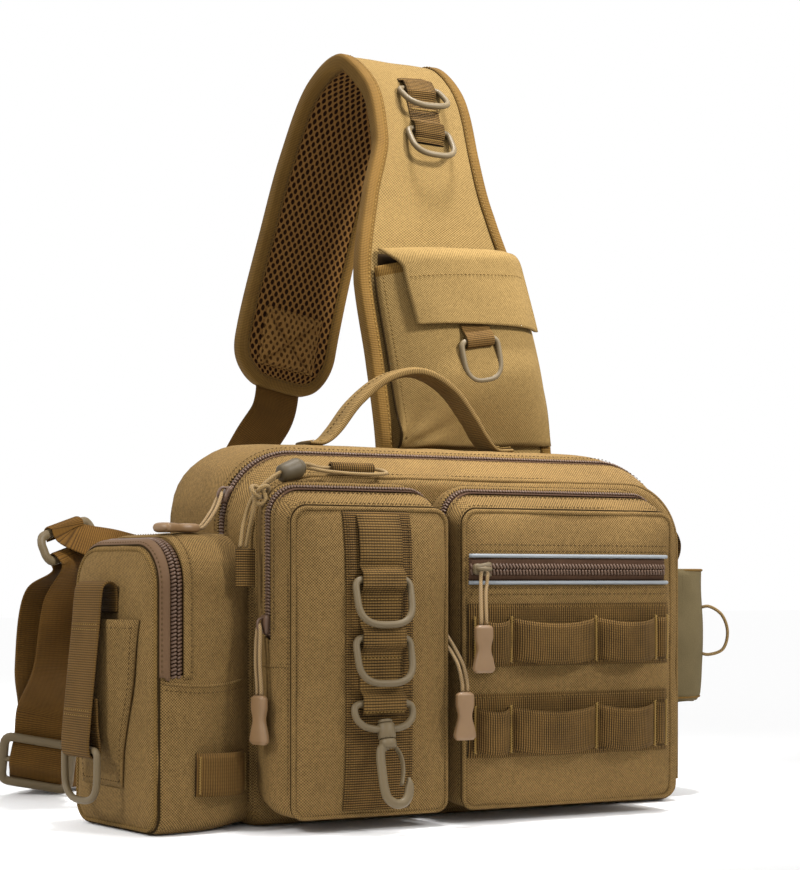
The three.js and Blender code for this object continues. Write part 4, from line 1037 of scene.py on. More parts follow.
toolCells = [[toolSpot(u, v) for v in spread(0, 1, 6)] for u in spread(0, 1, 40)]
addPiece("tool_loop_webbing", placed(layMesh(toolCells, toolLoop["thick"]), leftTurn), "tapeWeb",
         ["tool_loop"])
for u in (0.03, 0.97):
    start, end = (leftTurn @ (toolSpot(u, v)[0] + toFront * 1.7) for v in (0.06, 0.94))
    tack(start, end, leftSpin @ toFront)
print("left pocket is made")

# front pockets
pocketCut = {
    "zipAt": -84, "zipFoot": 114, "zipGap": 9.2, "wall": 2, "back": -60.2,
    "rows": tableOf("at inset low high foot crown", [
        (-60, 3.5, 18, 202, 10, 18), (-74, 0.8, 12, 205, 12, 20), (-84, 0, 10, 202, 11, 18),
        (-98, 0.5, 9, 193, 8, 12), (-104, 1.5, 10, 187.5, 6, 8), (-106.5, 6, 14, 183, 6, 8),
        (-109.5, 20, 36, 164, 10, 12), (-110.5, 34, 68, 132, 8, 8)]),
    "pockets": tableOf("name middle half seed draw", [
        ("middle", -91.8, 54.6, 21.1, 7), ("right", 48.5, 78.5, 33.4, 3.5)]),
}
columnX = -86.5


def pocketPlace(pocket):
    def place(row, u, v):  # the left edge of the front draws in
        drawn = pocket["draw"] * ease(-row["at"], 87, 104) * ease(-u, 0, pocket["half"] - 2)
        return vec(pocket["middle"] + u + drawn, row["at"], v)

    return place


def pocketSort(p):
    return None if inSlot(pocketCut, p.y, p.z) or p.y > pocketCut["back"] else "pocket"


pocketTrees = {}
for pocket in pocketCut["pockets"]:
    name, middle, zipAt = pocket["name"], pocket["middle"], pocketCut["zipAt"]
    rows = [dict(row, half=pocket["half"] - row["inset"]) for row in pocketCut["rows"]]
    place = pocketPlace(pocket)
    mesh = shellMesh(rows, rowPlaces(rows, 6, slotCuts(pocketCut)), place, pocketSort, 8, 32, 22)["pocket"]
    cloth = addPiece(name + "_pocket_cloth", mesh, "cloth", [name + "_pocket"])
    faceOut(cloth, lambda c: vec(middle, -60, 105))
    ruffle(cloth, 0.9, 40, pocket["seed"], lambda p: ease(abs(p.y - zipAt), 6, 14) * ease(-p.y, 62, 74))
    ruffle(cloth, 2.0, 62, pocket["seed"] + 7,  # dents of the front
           lambda p: ease(-p.y, 104.5, 108) * ease(abs(p.x - columnX), 26, 44))
    pocketTrees[name] = treeOf(cloth)
    thicken(cloth, pocketCut["wall"])
    zipPieces(name + "_zip", loopRun(rows, zipAt, place, pocketCut["zipFoot"] - 2), toBack, fineCoil)
    sliderPiece(name + "_slider", vec(middle - pocket["half"] - 1, zipAt, 121), toTop, toLeft)
    seamBead(name + "_pocket_piping", loopRun(rows, -103.8, place, None, 0.5), 1.5, closed=True)
    # near-black tube beside the piping: painted shade of the seam's crease
    seamBead(name + "_pocket_crease", loopRun(rows, -101.7, place, None, 0.15), 0.7, "crease", closed=True)
    seamBead(name + "_pocket_seam", loopRun(rows, -63.2, place, 20, 0.2), 1.1)
    for gap in (-7.4, 7.4):
        stitch(loopRun(rows, zipAt + gap, place, 116, 0.4))
    stitch(loopRun(rows, -99.6, place, 20, 0.3))
    for side, sign in (("left", -1), ("right", 1)):
        away = middle + sign * 150
        line = [cast(pocketTrees[name], vec(away, y, 97), toLeft * sign) for y in range(-66, -103, -2)]
        seamBead(name + "_gusset_seam_" + side, line, 0.9)
rightTree, middleTree = pocketTrees["right"], pocketTrees["middle"]


def onFront(tree, x, z, lift):
    p, n = cast(tree, vec(x, -200, z), toBack)
    return p + toFront * lift, toFront


def frontLine(left, right, z, lift, count=50):
    return [onFront(rightTree, x, z, lift) for x in spread(left, right, count)]


# zip across the right pocket's front, between two pipings
faceZip = {
    "left": -24, "right": 118, "at": 153.3, "slider": -17,
    "coil": {"pitch": 2.3, "half": 3.3, "inner": 0.25, "girth": 0.88, "crown": 0.8},
    "pipings": (("upper", 161.4), ("lower", 145.2)), "seams": (164.4, 168.2, 142.0, 138.2),
}
faceRun = frontLine(faceZip["left"], faceZip["right"], faceZip["at"], 2.6, 60)
zipPieces("face_zip", faceRun, toTop, faceZip["coil"], 1.0, 6.6)
sliderSpot = onFront(rightTree, faceZip["slider"], faceZip["at"], 2.2)[0]
sliderPiece("face_slider", sliderSpot, toRight, toFront, 1.1, "moulding")
for name, z in faceZip["pipings"]:
    line = [p for p, n in frontLine(-24, 120, z, 1.5, 60)]
    node = "face_piping_" + name
    addPiece(node + "_cord", tubeMesh(line, 1.2, 10), "trim", [node])
for z in faceZip["seams"]:
    stitch(frontLine(-23.5, 122, z, 0.5))

loopWeb = {
    "left": -24, "right": 120, "start": -22, "end": 119, "baseThick": 1.2, "thick": 1.4,
    "rows": tableOf("name baseLow baseHigh low high", [
        ("upper", 94.5, 132.5, 98.5, 123.5), ("lower", 39.5, 78, 44, 70)]),
    "loops": tableOf("start end rise", [(-22, 2, 6), (2, 63, 7.5), (63, 108, 7), (108, 119, 0.8)]),
    "tacks": (-21, 2, 63, 108, 118),
}


def loopSpot(x, z):
    span = next(row for row in loopWeb["loops"] if row["start"] <= x <= row["end"])
    share = (x - span["start"] - 1.7) / (span["end"] - span["start"] - 3.4)
    share = min(max(share, 0), 1)
    droop = 0.42 * span["rise"] * arch(share, 0.8)
    return onFront(rightTree, x, z - droop, 2.0 + (span["rise"] + 1.2) * arch(share, 0.45))


for row in loopWeb["rows"]:
    base, loops = "loop_base_" + row["name"], "loop_webbing_" + row["name"]
    cells = [[onFront(rightTree, x, z, 0.5) for z in spread(row["baseLow"], row["baseHigh"], 8)]
             for x in spread(loopWeb["left"], loopWeb["right"], 48)]
    addPiece(base + "_tape", layMesh(cells, loopWeb["baseThick"]), "webbing", [base])
    cells = [[loopSpot(x, z) for z in spread(row["low"], row["high"], 8)]
             for x in spread(loopWeb["start"], loopWeb["end"], 188)]
    addPiece(loops + "_tape", layMesh(cells, loopWeb["thick"]), "webbing", [loops])
    for x in loopWeb["tacks"]:
        start, end = (onFront(rightTree, x, z, 3.55)[0] for z in (row["low"] - 1.5, row["high"] + 1.5))
        tack(start, end, toFront, 3.1, 0.52)
    for z in (row["baseLow"] + 2, row["baseHigh"] - 2):
        stitch(frontLine(-22, 118, z, 1.75), "thread")

# webbing column with two rings and the hook
columnCut = {
    "half": 22, "low": 12.5, "high": 187, "thick": 1.3,
    "overHalf": 14, "overLow": 68, "overHigh": 185, "overThick": 1.6,
    "bars": ((147, -114.63), (113, -115.1), (75, -115.1)), "tacks": (135.5, 101.5, 70), "ringLean": 0.26,
}
columnWide = spread(columnX - columnCut["half"], columnX + columnCut["half"], 8)
cells = [[onFront(middleTree, x, z, 0.5) for x in columnWide]
         for z in spread(columnCut["low"], columnCut["high"], 70)]
addPiece("column_base_tape", layMesh(cells, columnCut["thick"]), "webbing", ["column_base"])


def columnSpot(aside, z, extra=0.0):
    near = min(abs(z - bar) for bar, y in columnCut["bars"])
    hung = 1.6 * ease(z, 154, 160) * (1 - ease(z, 176, 184))
    return onFront(middleTree, columnX + aside, z, 2.1 + 5.1 * (1 - ease(near, 3.2, 9)) + hung + extra)


overHalf = columnCut["overHalf"]
cells = [[columnSpot(aside, z) for aside in spread(-overHalf, overHalf, 6)]
         for z in spread(columnCut["overLow"], columnCut["overHigh"], 150)]
columnMesh = layMesh(cells, columnCut["overThick"])
addPiece("column_webbing_tape", columnMesh, "columnWeb", ["column_webbing"])
for z in columnCut["tacks"]:
    stitch([columnSpot(aside, z, 1.7) for aside in (-13, 0, 13)], "goldThread", 2.2, 1.9)
for aside in (-20, 20):
    stitch([onFront(middleTree, columnX + aside, z, 1.9) for z in spread(16, 183, 60)])


def columnSeat(k, lean):
    z, y = columnCut["bars"][k]
    return seat(vec(columnX, y, z), toRight, vec(0, -math.sin(lean), -math.cos(lean)))


for k, node in enumerate(("column_ring_upper", "column_ring_lower")):
    ringPiece(node, 35.5, 27, columnSeat(k, columnCut["ringLean"]))

hookShape = {
    "lean": 0.27, "wide": 38, "high": 15,
    "eye": ((0, 0), (0.36, 0), (0.47, -0.08), (0.5, -0.3),
            (0.47, -0.62), (0.36, -0.88), (0.2, -1), (0, -1.02)),
    "block": [(3.2, -12.2), (4.6, -12), (5.2, -12.6), (5.2, -20.4), (4.6, -21), (3.2, -20.8)],
    "neckTop": -11.7, "neckFoot": -21.3,
    "head": ((0.2, 2.1), (3.6, 2), (4.2, 1.5), (4.2, 0.3), (3.9, 0.05), (2.9, 0)),
    "collar": ((2.9, 0), (4.4, 0), (5, -0.6), (5, -4.2), (4.3, -5), (2.6, -5.3), (0.2, -5.4)),
    "wire": ((0, -3), (-4.6, -5.5), (-5.8, -11), (-6, -20), (-5.8, -28.5), (-4.2, -34.5),
             (0.5, -37.8), (5.5, -37.2), (9, -33.5), (10.6, -28), (10.8, -23)),
    "gate": ((3, -3), (6.6, -8), (8, -14), (7.4, -21), (5.6, -27)),
}
eyeSeat = columnSeat(2, hookShape["lean"])
eyeSide = [vec(x * hookShape["wide"], 0, z * hookShape["high"]) for x, z in hookShape["eye"]]
eyeLoop = eyeSide + [vec(-p.x, 0, p.z) for p in eyeSide[-2:0:-1]]
eyeParts = joinMesh([wireMesh(eyeLoop, 80, 0.4, 2.1), turnMesh(hookShape["block"], 28, True)])
addPiece("hook_eye_body", placed(eyeParts, eyeSeat), "moulding", ["hook_eye"], "hook_eye")
top, foot = hookShape["neckTop"], hookShape["neckFoot"]
neckRows = [(r, top + z) for r, z in hookShape["head"]]
neckRows += [(r, foot + z) for r, z in hookShape["collar"]]
neck = turnMesh(neckRows, 28)


def hookGirth(t):  # thinner towards the tip
    return 2.5 * (1 - 0.5 * ease(t, 0.95, 1)), 2.8 * (1 - 0.6 * ease(t, 0.9, 1))


hookRun, gateRun = (curveRun([vec(x, 0, foot + z) for x, z in hookShape[key]], count)
                    for key, count in (("wire", 60), ("gate", 30)))
hookWire = tubeMesh(hookRun, hookGirth, 14, side=toBack)
gate = tubeMesh(gateRun, lambda t: (2.2, 0.85), 12, side=toBack)
hookParts = placed(joinMesh([neck, hookWire, gate]), eyeSeat)
addPiece("snap_hook_body", hookParts, "moulding", ["snap_hook"], "snap_hook")
print("front pockets are made")

# right end: pouch and tab
pouchCut = {
    "middle": 177, "inside": vec(172, 7, 108), "wall": 2, "sewnX": 164.5, "rim": 153.9,
    "rows": tableOf("at half low high foot crown", [
        (64, 32, -38, 52, 26, 26), (68, 35, -42, 57, 32, 32),
        (112, 37, -44, 59, 34, 34), (154, 36, -43, 58, 33, 33)]),
}


def pouchPlace(row, u, v):
    return vec(pouchCut["middle"] + u, v, row["at"])


def pouchSort(p):
    return None if p.x < pouchCut["sewnX"] or p.z > pouchCut["rim"] else "pouch"


pouchRows = pouchCut["rows"]
pouchMesh = shellMesh(pouchRows, rowPlaces(pouchRows, 5), pouchPlace, pouchSort, 12, 18, 14)["pouch"]
pouch = addPiece("end_pouch_cloth", pouchMesh, "loopCloth", ["end_pouch"])
faceOut(pouch, lambda c: pouchCut["inside"])
ruffle(pouch, 1.0, 36, 5.6)
thicken(pouch, pouchCut["wall"])
for name, at, girth in (("rim", 153.4, 0.9), ("foot", 66.6, 0.8)):
    run = [pair for pair in loopRun(pouchRows, at, pouchPlace, None, -0.2)[:-1] if pair[0].x > 166]
    # the open run begins after its widest gap
    start = max(range(len(run)), key=lambda k: (run[k][0] - run[k - 1][0]).length)
    seamBead("end_pouch_" + name, run[start:] + run[:start], girth, "binding")

endTab = {"low": 155, "high": 184, "front": -50, "back": -38, "rise": 8, "thick": 1.6}
cells = []
for t in spread(0, 1, 28):
    lift = toRight * (0.3 + endTab["rise"] * arch(t, 0.7))
    z = mix(endTab["low"], endTab["high"], t)
    cells.append([(cast(mainTrees["front"], vec(300, y, z), toLeft)[0] + lift, toRight)
                  for y in spread(endTab["front"], endTab["back"], 4)])
addPiece("end_tab_webbing", layMesh(cells, endTab["thick"]), "webbing", ["end_tab"])
print("right end is made")

# sling strap: rows from its foot on the bag's back, over the top, to its far end
strapCut = {
    "rows": tableOf("x y z half", [
        (76, 71.2, 192, 69), (76, 72.2, 242, 69), (68, 77, 305, 67), (59, 83.5, 360, 64), (58, 93, 410, 52),
        (62, 105, 457, 41), (62, 125, 501, 40), (56, 155, 523, 41), (48, 186, 508, 41), (37, 211, 460, 40),
        (26, 226, 400, 40), (14, 233, 340, 41), (8, 235, 304, 41), (5, 235, 290, 41)]),
    "edge": 2.2, "crown": 1.6, "roundEnd": 34, "endHalf": 12, "farHalf": 41, "steps": 170, "cols": 14,
}
strapLine = [vec(row["x"], row["y"], row["z"]) for row in strapCut["rows"]]
strapHalves = [vec(row["half"], 0, 0) for row in strapCut["rows"]]


def headingAt(line, t, step):
    return (curvePoint(line, min(t + step, 1)) - curvePoint(line, max(t - step, 0))).normalized()


def strapFrame(s):
    way = headingAt(strapLine, s, 1e-4)
    side = (toRight - way * way.x).normalized()
    return curvePoint(strapLine, s), way, side, side.cross(way)


def strapOut(s):
    return strapFrame(s)[3]


def strapWidth(s):
    left = curvePoint(strapLine, s).z - strapLine[-1].z if s > 0.8 else strapCut["roundEnd"]
    if left < strapCut["roundEnd"]:
        share = math.sqrt(max(1 - (1 - left / strapCut["roundEnd"]) ** 2, 0))
        return mix(strapCut["endHalf"], strapCut["farHalf"], share)
    return curvePoint(strapHalves, s).x


def strapPoint(s, across, lift):
    p, way, side, out = strapFrame(s)
    return p + side * across + out * lift


def strapAt(z):
    return turningPoint(lambda s: curvePoint(strapLine, s).z < z, 0.0, 0.5)


def strapLayer(top, bottom):
    grid = []
    for s in spread(0.002, 0.988, strapCut["steps"]):
        p, way, side, out = strapFrame(s)
        wide = strapWidth(s) - strapCut["edge"]
        ring = [p + side * (v * wide) + out * top(s, v) for v in spread(-1, 1, strapCut["cols"])]
        ring += [p + side * (v * wide) + out * bottom(s, v) for v in spread(1, -1, strapCut["cols"])]
        grid.append(ring)
    return gridMesh(grid, True, True)


def padTop(s, v):
    quilt = 0.5 * noise.noise(vec(s * 14, v * 2.2, 4.4))
    return 4.0 + (strapCut["crown"] + quilt) * (1 - v ** 4)


pad = addPiece("strap_pad_cloth", strapLayer(padTop, lambda s, v: -1.6), "strapCloth", ["strap_pad"])
liningMesh = strapLayer(lambda s, v: -1.9, lambda s, v: -4.2 - 1.2 * (1 - v ** 4))
addPiece("strap_mesh_lining", liningMesh, "lining", ["strap_mesh"])

bindCut = {
    "profile": ((9, 5.7), (5, 6), (2, 5.9), (0.6, 5), (0, 3), (0, 0),
                (0, -3), (0.6, -5), (2, -5.9), (5, -6), (9, -5.7)),
    "wall": 0.8, "seamIn": 7.4, "seamLift": 5.95,
}
bindSteps = spread(0, 1, strapCut["steps"])
bindPath = [(s, -strapWidth(s)) for s in bindSteps] + [(1, a) for a in (-10, 0, 10)]
bindPath += [(1 - s, strapWidth(1 - s)) for s in bindSteps]
bindEdges = [strapPoint(s, across, 0) for s, across in bindPath]
bindGrid, bindFrames = [], []
for (s, across), edge, run in zip(bindPath, bindEdges, headings(bindEdges)):
    p, way, side, out = strapFrame(s)
    inward = out.cross(run).normalized()
    if inward.dot(p - edge) < 0 and abs(across) > 1:
        inward.negate()
    if s == 1 and abs(across) < strapCut["endHalf"]:
        inward = -way
    bindGrid.append([edge + inward * inset + out * lift for inset, lift in bindCut["profile"]])
    bindFrames.append((edge, inward, out))
bindMesh = gridMesh(bindGrid, across=lengths(bindGrid[40]))
binding = addPiece("strap_binding_tape", bindMesh, "binding", ["strap_binding"])
binding.data.flip_normals()  # so that the wall grows inward
thicken(binding, bindCut["wall"])
for face, thread in ((1, "goldThread"), (-1, "darkThread")):
    stitch([(edge + inward * bindCut["seamIn"] + out * (bindCut["seamLift"] * face), out * face)
            for edge, inward, out in bindFrames], thread, 3.2, 2.3)

# square sewn down on the far end of the lining, with its cross of stitches
patch = {"start": 0.832, "end": 0.914, "half": 23, "tall": 70, "lift": -5.5, "puff": 2.4, "furrow": 2.6,
         "low": 2, "high": 68, "side": 21}
patchEnds = (("low", -1), ("high", -1), ("high", 1), ("low", 1))
corners = [vec(patch[key], sign * patch["side"], 0) for key, sign in patchEnds]
patchSeams = list(zip(corners, corners[1:] + corners[:1]))
patchSeams += [(corners[0], corners[2]), (corners[1], corners[3])]


def sewnDown(spot):
    near = 99
    for a, b in patchSeams:
        t = min(max((spot - a).dot(b - a) / (b - a).length_squared, 0), 1)
        near = min(near, (spot - a.lerp(b, t)).length)
    return bell(near, 0, patch["furrow"])


grid = []
for i in range(71):
    s = mix(patch["start"], patch["end"], i / 70)
    grid.append([])
    for j in range(47):
        across = mix(-1, 1, j / 46) * patch["half"]
        down = 1 if i in (0, 70) or j in (0, 46) else sewnDown(vec(i * patch["tall"] / 70, across, 0))
        crumple = 0.35 * noise.noise(vec(i * 0.3, j * 0.3, 2.2)) * (1 - down)
        grid[-1].append(strapPoint(s, across, patch["lift"] - patch["puff"] * (1 - down) ** 0.8 - crumple))
patchCloth = addPiece("strap_patch_cloth", gridMesh(grid), "patch")
faceOut(patchCloth, lambda c: vec(14, 200, 330))
thicken(patchCloth, 0.6)
for a, b in patchSeams:
    spots = [a.lerp(b, k / 20) for k in range(21)]
    spots = [(mix(patch["start"], patch["end"], p.x / patch["tall"]), p.y) for p in spots]
    # the dark thread here is real stitching and also painted shade along the furrows
    below = [(strapPoint(s, across, patch["lift"] - 0.3), -strapOut(s)) for s, across in spots]
    stitch(below, "darkThread", 2.6, 2.1, 0.4)
    above = [(strapPoint(s, across, padTop(s, across / 40) + 0.1), strapOut(s)) for s, across in spots]
    stitch(above, "thread", 2.6)
print("sling strap is made")

# phone pocket on the strap, its flap, and a tab with a ring
phone = {
    "low": 239, "mouth": 362, "left": -0.82, "right": 0.97, "puff": 21, "wall": 1.6, "seam": 6.6,
    "pleat": 9, "belly": 5, "insideLow": 350, "insideHigh": 374, "insideLeft": -0.77,
    "insideRight": 0.86, "insideLift": 6.35,
}


def phoneLift(u, v):
    across = 1 - abs(2 * u - 1) ** (2.5 if u < 0.5 else 5)
    return phone["seam"] + phone["puff"] * max(across, 0) * ease(v, 0, 0.42) ** 0.6


def phoneSpot(u, v, lift=0.0):
    s = strapAt(mix(phone["low"], phone["mouth"], v))
    across = mix(phone["left"], phone["right"], u) * strapWidth(s)
    foot = (1 - ease(v, 0.1, 0.36)) * ease(v, 0.0, 0.05)
    far = math.hypot(u / 0.42, v / 0.3)  # pleats fan out from the lower left corner
    fan = abs(math.sin(4.6 * math.atan2(v / 0.3, u / 0.42 + 0.02) + 0.5))
    pleat = fan ** 0.8 * min(far * 2.4, 1) * bell(far, 0, 0.7)
    gather = phone["pleat"] * pleat + foot * 1.1 * math.sin(u * 9 - 7 * v + 1)
    belly = phone["belly"] * bell(v, 0.32, 0.25) * (1 - abs(2 * u - 1) ** 2.4)
    sag = 1.1 * noise.noise(vec(u * 2.6, v * 3.0, 8.1)) * ease(v, 0, 0.2) * (1 - ease(v, 0.55, 0.75))
    return strapPoint(s, across, phoneLift(u, v) + lift + gather + belly + sag)


phoneGrid = [[phoneSpot(u, v, phone["wall"]) for u in spread(0, 1, 40)] for v in spread(0, 1, 40)]
phoneCloth = addPiece("phone_pocket_cloth", gridMesh(phoneGrid), "strapCloth", ["phone_pocket"])
faceOut(phoneCloth, lambda c: vec(70, 90, 300))
thicken(phoneCloth, phone["wall"])
# near-black tube along the pocket's left edge: painted shade where the pocket wall meets the binding
seamBead("phone_pocket_crease", [(phoneSpot(0, v, 0.6), None) for v in spread(0, 1, 60)], 1.05, "crease")
# near-black sheet inside the phone pocket's mouth: painted shade of the pocket's inside
grid = []
for i in range(13):
    s = strapAt(mix(phone["insideLow"], phone["insideHigh"], i / 12))
    grid.append([])
    for j, side in enumerate(spread(phone["insideLeft"], phone["insideRight"], 24)):
        rim = 0.3 * (i in (0, 12) or j in (0, 24))
        grid[-1].append(strapPoint(s, side * strapWidth(s), phone["insideLift"] - rim))
inside = addPiece("phone_pocket_inside", gridMesh(grid), "inside")
faceOut(inside, lambda c: vec(60, 120, 362))
thicken(inside, 0.4)
mouth = [phoneSpot(u, 1, phone["wall"] * 0.5) for u in spread(0, 1, 40)]
addPiece("phone_mouth_binding", tubeMesh(mouth, lambda t: (4.5, 1.3), 14, side=toTop), "binding")
stitch([(phoneSpot(0.035, v, phone["wall"] + 0.1), strapOut(strapAt(mix(phone["low"], 356, v))))
        for v in spread(0, 1, 60)[4:]], "thread")

flap = {"top": 377, "lowLeft": 326, "lowRight": 311, "rise": 6, "thick": 1.5,
        "leftTop": -0.73, "leftLow": -0.57, "right": 0.91, "roll": 17, "seam": 0.42}


def flapLeft(z):
    side = mix(flap["leftLow"], flap["leftTop"], ease(z, flap["top"] - flap["roll"], flap["top"]))
    return side - 0.0012 * max(z - flap["lowLeft"], 0)


def flapSpot(u, v, lift=0.0):
    z = mix(flap["top"], mix(flap["lowLeft"], flap["lowRight"], u), v)
    s = strapAt(z)
    side = mix(flapLeft(z), flap["right"], u)
    over = min((z - phone["low"]) / (phone["mouth"] - phone["low"]), 1)
    spot = (side - phone["left"]) / (phone["right"] - phone["left"])
    roll = min((flap["top"] - z) / (flap["top"] - phone["mouth"] - 1), 1)
    full = phoneLift(min(spot, 0.95), over) + flap["rise"]
    high = mix(phone["seam"], full, math.sqrt(max(1 - (1 - roll) ** 2, 0)))
    wave = 0.8 * noise.noise(vec(u * 2.6, v * 2.2, 1.7)) * ease(v, 0.05, 0.3)
    return strapPoint(s, side * strapWidth(s), high + lift + wave)


flapGrid = [[flapSpot(u, v, flap["thick"]) for u in spread(0, 1, 40)] for v in spread(0, 1, 40)]
flapCloth = addPiece("phone_flap_cloth", gridMesh(flapGrid), "strapCloth", ["phone_flap"])
faceOut(flapCloth, lambda c: vec(70, 95, 300))
thicken(flapCloth, flap["thick"])
flapOut = strapOut(strapAt(350))
stitch([(flapSpot(u, flap["seam"], flap["thick"] + 0.15), flapOut) for u in spread(0, 1, 40)[1:-1]], "thread")

phoneTab = {"side": 0.06, "width": 22, "thick": 1.2, "steps": 70, "bar": 309, "route": (
    (336, 1.4), (324, 1.4), (317, 3), (312, 6.4), (308.5, 7.3),
    (305, 5.6), (305, 2.6), (308.4, 1.1), (312.5, 1))}


def tabSpot(z, lift, aside=0.0):
    s = strapAt(z)
    across = phoneTab["side"] + aside / strapWidth(s)
    u = (across - phone["left"]) / (phone["right"] - phone["left"])
    v = (z - phone["low"]) / (phone["mouth"] - phone["low"])
    return strapPoint(s, across * strapWidth(s), phoneLift(u, v) + phone["wall"] + lift)


tabSide = (tabSpot(316, 0, 11) - tabSpot(316, 0, -11)).normalized()
tabRun = curveRun([tabSpot(z, lift) for z, lift in phoneTab["route"]], phoneTab["steps"])
tabMesh = webMesh(tabRun, [tabSide] * phoneTab["steps"], phoneTab["width"], phoneTab["thick"])
addPiece("phone_tab_webbing", tabMesh, "tapeWeb", ["phone_tab"])
tabDown = (tabSpot(280, 4) - tabSpot(phoneTab["bar"], 4.1)).normalized()
ringPiece("phone_ring", 29, 28, seat(tabSpot(phoneTab["bar"], 4.2), tabSide, tabDown))

ringTab = {"low": 456, "high": 506, "half": 12, "thick": 1.6, "seat": 4.7,
           "tacks": (459, 481.5, 504), "lean": 0.34,
           "bars": (("strap_ring_upper", 497), ("strap_ring_lower", 466))}
cells = []
for z in spread(ringTab["low"], ringTab["high"], 80):
    s = strapAt(z)
    near = min(abs(z - bar) for node, bar in ringTab["bars"])
    lift = ringTab["seat"] + 1.0 * ease(near, 3.4, 9) + 5.1 * (1 - ease(near, 3.4, 8))
    cells.append([(strapPoint(s, side * ringTab["half"], lift), strapOut(s)) for side in spread(-1, 1, 6)])
addPiece("strap_tab_webbing", layMesh(cells, ringTab["thick"]), "webbing", ["strap_tab"])
for z in ringTab["tacks"]:
    s = strapAt(z)
    tack(strapPoint(s, -10.5, 7.4), strapPoint(s, 10.5, 7.4), strapOut(s))
for node, z in ringTab["bars"]:
    p, way, side, out = strapFrame(strapAt(z))
    ringPiece(node, 33, 26, seat(p + out * (ringTab["seat"] + 2.4), side, out * ringTab["lean"] - way))
print("phone pocket is made")


# slide ring and adjuster: frames of bent wire with round corners
def framePoints(width, height):
    r, points = 5, []
    for signX, signZ, start in ((1, 1, 0), (-1, 1, 90), (-1, -1, 180), (1, -1, 270)):
        for a in (math.radians(start + 45 * i) for i in range(3)):
            x, z = signX * (width / 2 - r) + r * math.cos(a), signZ * (height / 2 - r) + r * math.sin(a)
            points.append(vec(x, 0, z))
        a = math.radians(start + 90)
        points.append(vec(width / 2 * math.cos(a), 0, height / 2 * math.sin(a)))
    return points


buckles = {
    "slide": {"at": vec(-208, 92, 172), "side": vec(0.86, 0.42, 0.28).normalized(),
              "down": vec(0.3, -0.1, -0.95), "width": 45, "height": 17, "girth": (2.1, 3.1)},
    "adjuster": {"at": vec(-206, 166, 22), "side": vec(0.87, -0.45, -0.16).normalized(),
                 "down": vec(-0.1, 0.42, -0.9), "width": 46, "height": 33, "girth": (2.1, 3.2)},
    "bar": (-22.5, -12, 0, 12, 22.5), "barGirth": 2.0,
}
buckleSeats = {}
for name in ("slide", "adjuster"):
    shape = buckles[name]
    buckleSeats[name] = seat(shape["at"], shape["side"], shape["down"])
    parts = wireMesh(framePoints(shape["width"], shape["height"]), 80, 0.3, lambda t: shape["girth"])
    if name == "adjuster":
        parts = joinMesh([parts, tubeMesh([vec(x, 0, 0) for x in buckles["bar"]], buckles["barGirth"], 14)])
    node = "strap_" + name
    addPiece(node + "_frame", placed(parts, buckleSeats[name]), "moulding", [node])
slideSide, glideSide = buckles["slide"]["side"], buckles["adjuster"]["side"]


def inSlide(y, z):
    return buckleSeats["slide"] @ vec(0, y, z)


def inGlide(y, z):
    return buckleSeats["adjuster"] @ vec(0, y, z)


def webPiece(name, node, points, sides, count, width):
    fine = [(curvePoint(points, t), curvePoint(sides, t)) for t in spread(0, 1, count)]
    mesh = webMesh([p for p, side in fine], [side for p, side in fine], width, 1.4)
    addPiece(name, mesh, "strapWeb", [node])


# lower webbing: points, and how far each has turned from the slide ring's side to the adjuster's
low, high = -8.5, 8.5
webRows = [
    (inGlide(3.5, 1), 1), (inGlide(6, 8), 1), (inGlide(8.6, 17), 1), (inGlide(10, 34), 0.9),
    (vec(-213, 132, 92), 0.6),
    (vec(-214, 113, 142), 0.25), (inSlide(5, low - 6), 0), (inSlide(4.3, low + 1), 0),
    (inSlide(1.6, low + 4.1), 0),
    (inSlide(-1.6, low + 4.1), 0), (inSlide(-4.3, low + 1), 0), (inSlide(-5, low - 6), 0),
    (vec(-206, 99, 136), 0.25),
    (vec(-206, 114, 90), 0.6), (inGlide(4.8, 34), 0.9), (inGlide(4.6, 17), 1),
    (inGlide(0, 8.2), 1), (inGlide(-4.2, 0), 1),
    (inGlide(0, -8.2), 1), (inGlide(4.6, -16.5), 1), (vec(-193, 188, 4.6), 0.9), (vec(-172, 206, 5), 0.6),
    (vec(-142, 219, 30), 0.3), (vec(-96, 228, 98), 0.1), (vec(-52, 233, 184), 0), (vec(-14, 235.2, 250), 0),
    (vec(1, 235, 273), 0), (vec(4.93, 235, 289.6), 0), (vec(5, 235, 297), 0)]
webSides = []
for i, (p, share) in enumerate(webRows):
    start = slideSide if i < 16 else vec(1, 0, 0 if i > 24 else 0.4)
    webSides.append(start.lerp(glideSide, share))
webPiece("strap_webbing_run", "strap_webbing", [p for p, share in webRows], webSides, 420, 36)
anchorSpots = ((-124, 156), (-138, 157))
anchorFeet = [cast(mainTrees["back"], vec(x, 200, z), toFront)[0] + toBack * 2.0 for x, z in anchorSpots]
anchorPoints = anchorFeet + [
    vec(-160, 70, 160), vec(-182, 79, 168), inSlide(-4.6, high - 4), inSlide(-4.2, high + 2),
    inSlide(0, high + 4.2), inSlide(4.2, high + 1.5), inSlide(4, high - 4.5)]
anchorSides = [toTop, toTop, vec(0.2, 0.2, 1), vec(0.6, 0.4, 0.8)] + [slideSide] * 5
webPiece("strap_anchor_webbing", "strap_anchor", anchorPoints, anchorSides, 110, 28)

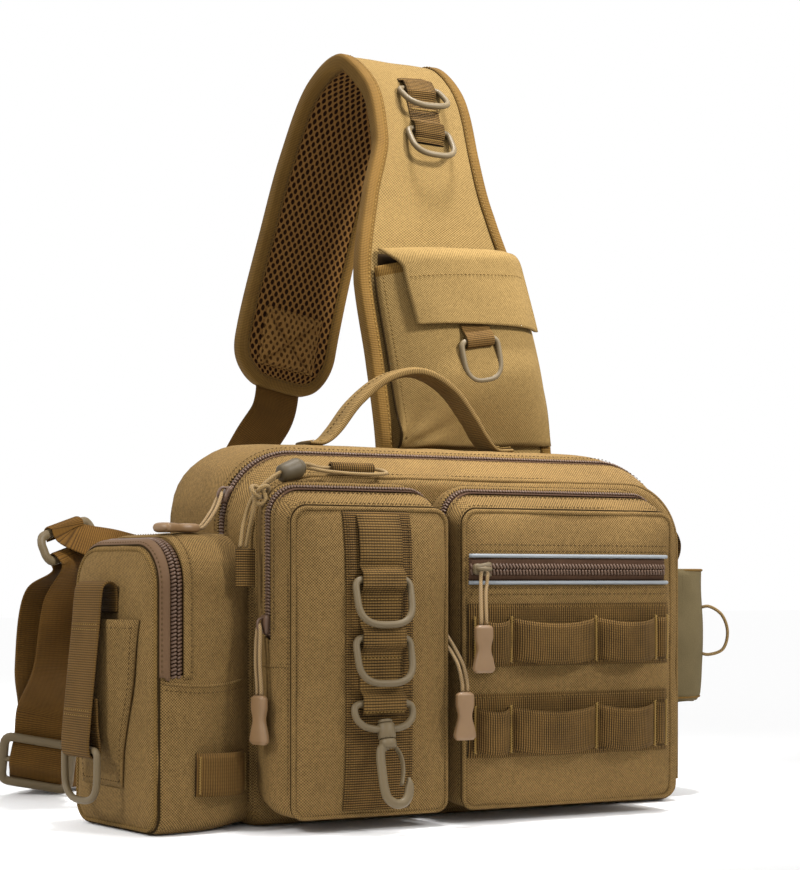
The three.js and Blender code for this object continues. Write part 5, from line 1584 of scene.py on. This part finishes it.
# carry handle: webbing folded double in the middle, single where it is sewn down
handleCut = {
    "rows": tableOf("x y z wide thick", [
        (-78, 12, 234, 12, 1.4), (-69, 12, 234.5, 12, 1.6), (-63, 12, 237.2, 11.6, 2),
        (-56, 12, 244, 11, 2.8), (-41, 13, 262, 10.8, 3.1), (-18, 14, 279, 10.8, 3.1),
        (6, 14, 284, 10.8, 3.1), (28, 13, 274, 10.8, 3.1), (45, 12, 254, 11, 2.8),
        (53, 12, 242, 11.4, 2.2), (61, 12, 234.8, 12, 1.6), (73, 12, 234, 12, 1.5)]),
    "tacks": (-75, -69, 62, 71), "tackLift": 235.9,
}
rows = handleCut["rows"]
for row in rows[:2] + rows[-2:]:
    row["z"] = cast(mainTrees["back"], vec(row["x"], row["y"], 400), toFloor)[0].z + 0.9
handleLine = [vec(row["x"], row["y"], row["z"]) for row in rows]
handleSize = [vec(row["wide"], row["thick"], 0) for row in rows]
grid, handleSeam = [], []
for t in spread(0, 1, 120):
    p, size, way = curvePoint(handleLine, t), curvePoint(handleSize, t), headingAt(handleLine, t, 1e-3)
    side = (toBack - way * way.y).normalized()
    out = side.cross(way)
    ring = []
    for j in range(40):
        a = 2 * math.pi * j / 40
        # a groove below, where the two edges meet
        groove = 1 - 0.3 * bell(a, 1.5 * math.pi, 0.12) * ease(size.y, 2, 2.8)
        wide, thick = size.x * squared(math.cos(a), 0.8), size.y * groove * squared(math.sin(a), 0.6)
        ring.append(p + side * wide + out * thick)
    grid.append(ring)
    handleSeam.append((p - out * (size.y * 0.9), -out))
addPiece("carry_handle_fold", gridMesh(grid, True, True), "handleWeb", ["carry_handle"])
stitch(handleSeam[22:96], "darkThread", 3.4, 2.4)
for x in handleCut["tacks"]:
    tack(vec(x, 2, handleCut["tackLift"]), vec(x, 22, handleCut["tackLift"]), toTop)

# tunnel of the drawcord
pipe = turnMesh([(2.2, -14.5), (3.2, -14.5), (3.6, -14.1), (3.6, 14.1), (3.2, 14.5), (2.2, 14.5)], 24, True)
tunnel = Matrix.Translation(drawCut["tunnel"]) @ Matrix.Rotation(math.pi / 2, 4, "Y")
addPiece("draw_tunnel_tape", placed(pipe, tunnel), "webbing", ["draw_tunnel"])

for thread, parts in sewn.items():
    addPiece("sewing_" + thread, joinMesh(parts), thread)
print("sewing is made")

plane = bpy.data.meshes.new("floor")
plane.from_pydata([(-6, -6, 0), (6, -6, 0), (6, 6, 0), (-6, 6, 0)], [], [(0, 1, 2, 3)])
floor = bpy.data.objects.new("floor", plane)
floor.location.z = -0.0004
floor.data.materials.append(looks["floor"])
bpy.context.scene.collection.objects.link(floor)

print("bag is finished")
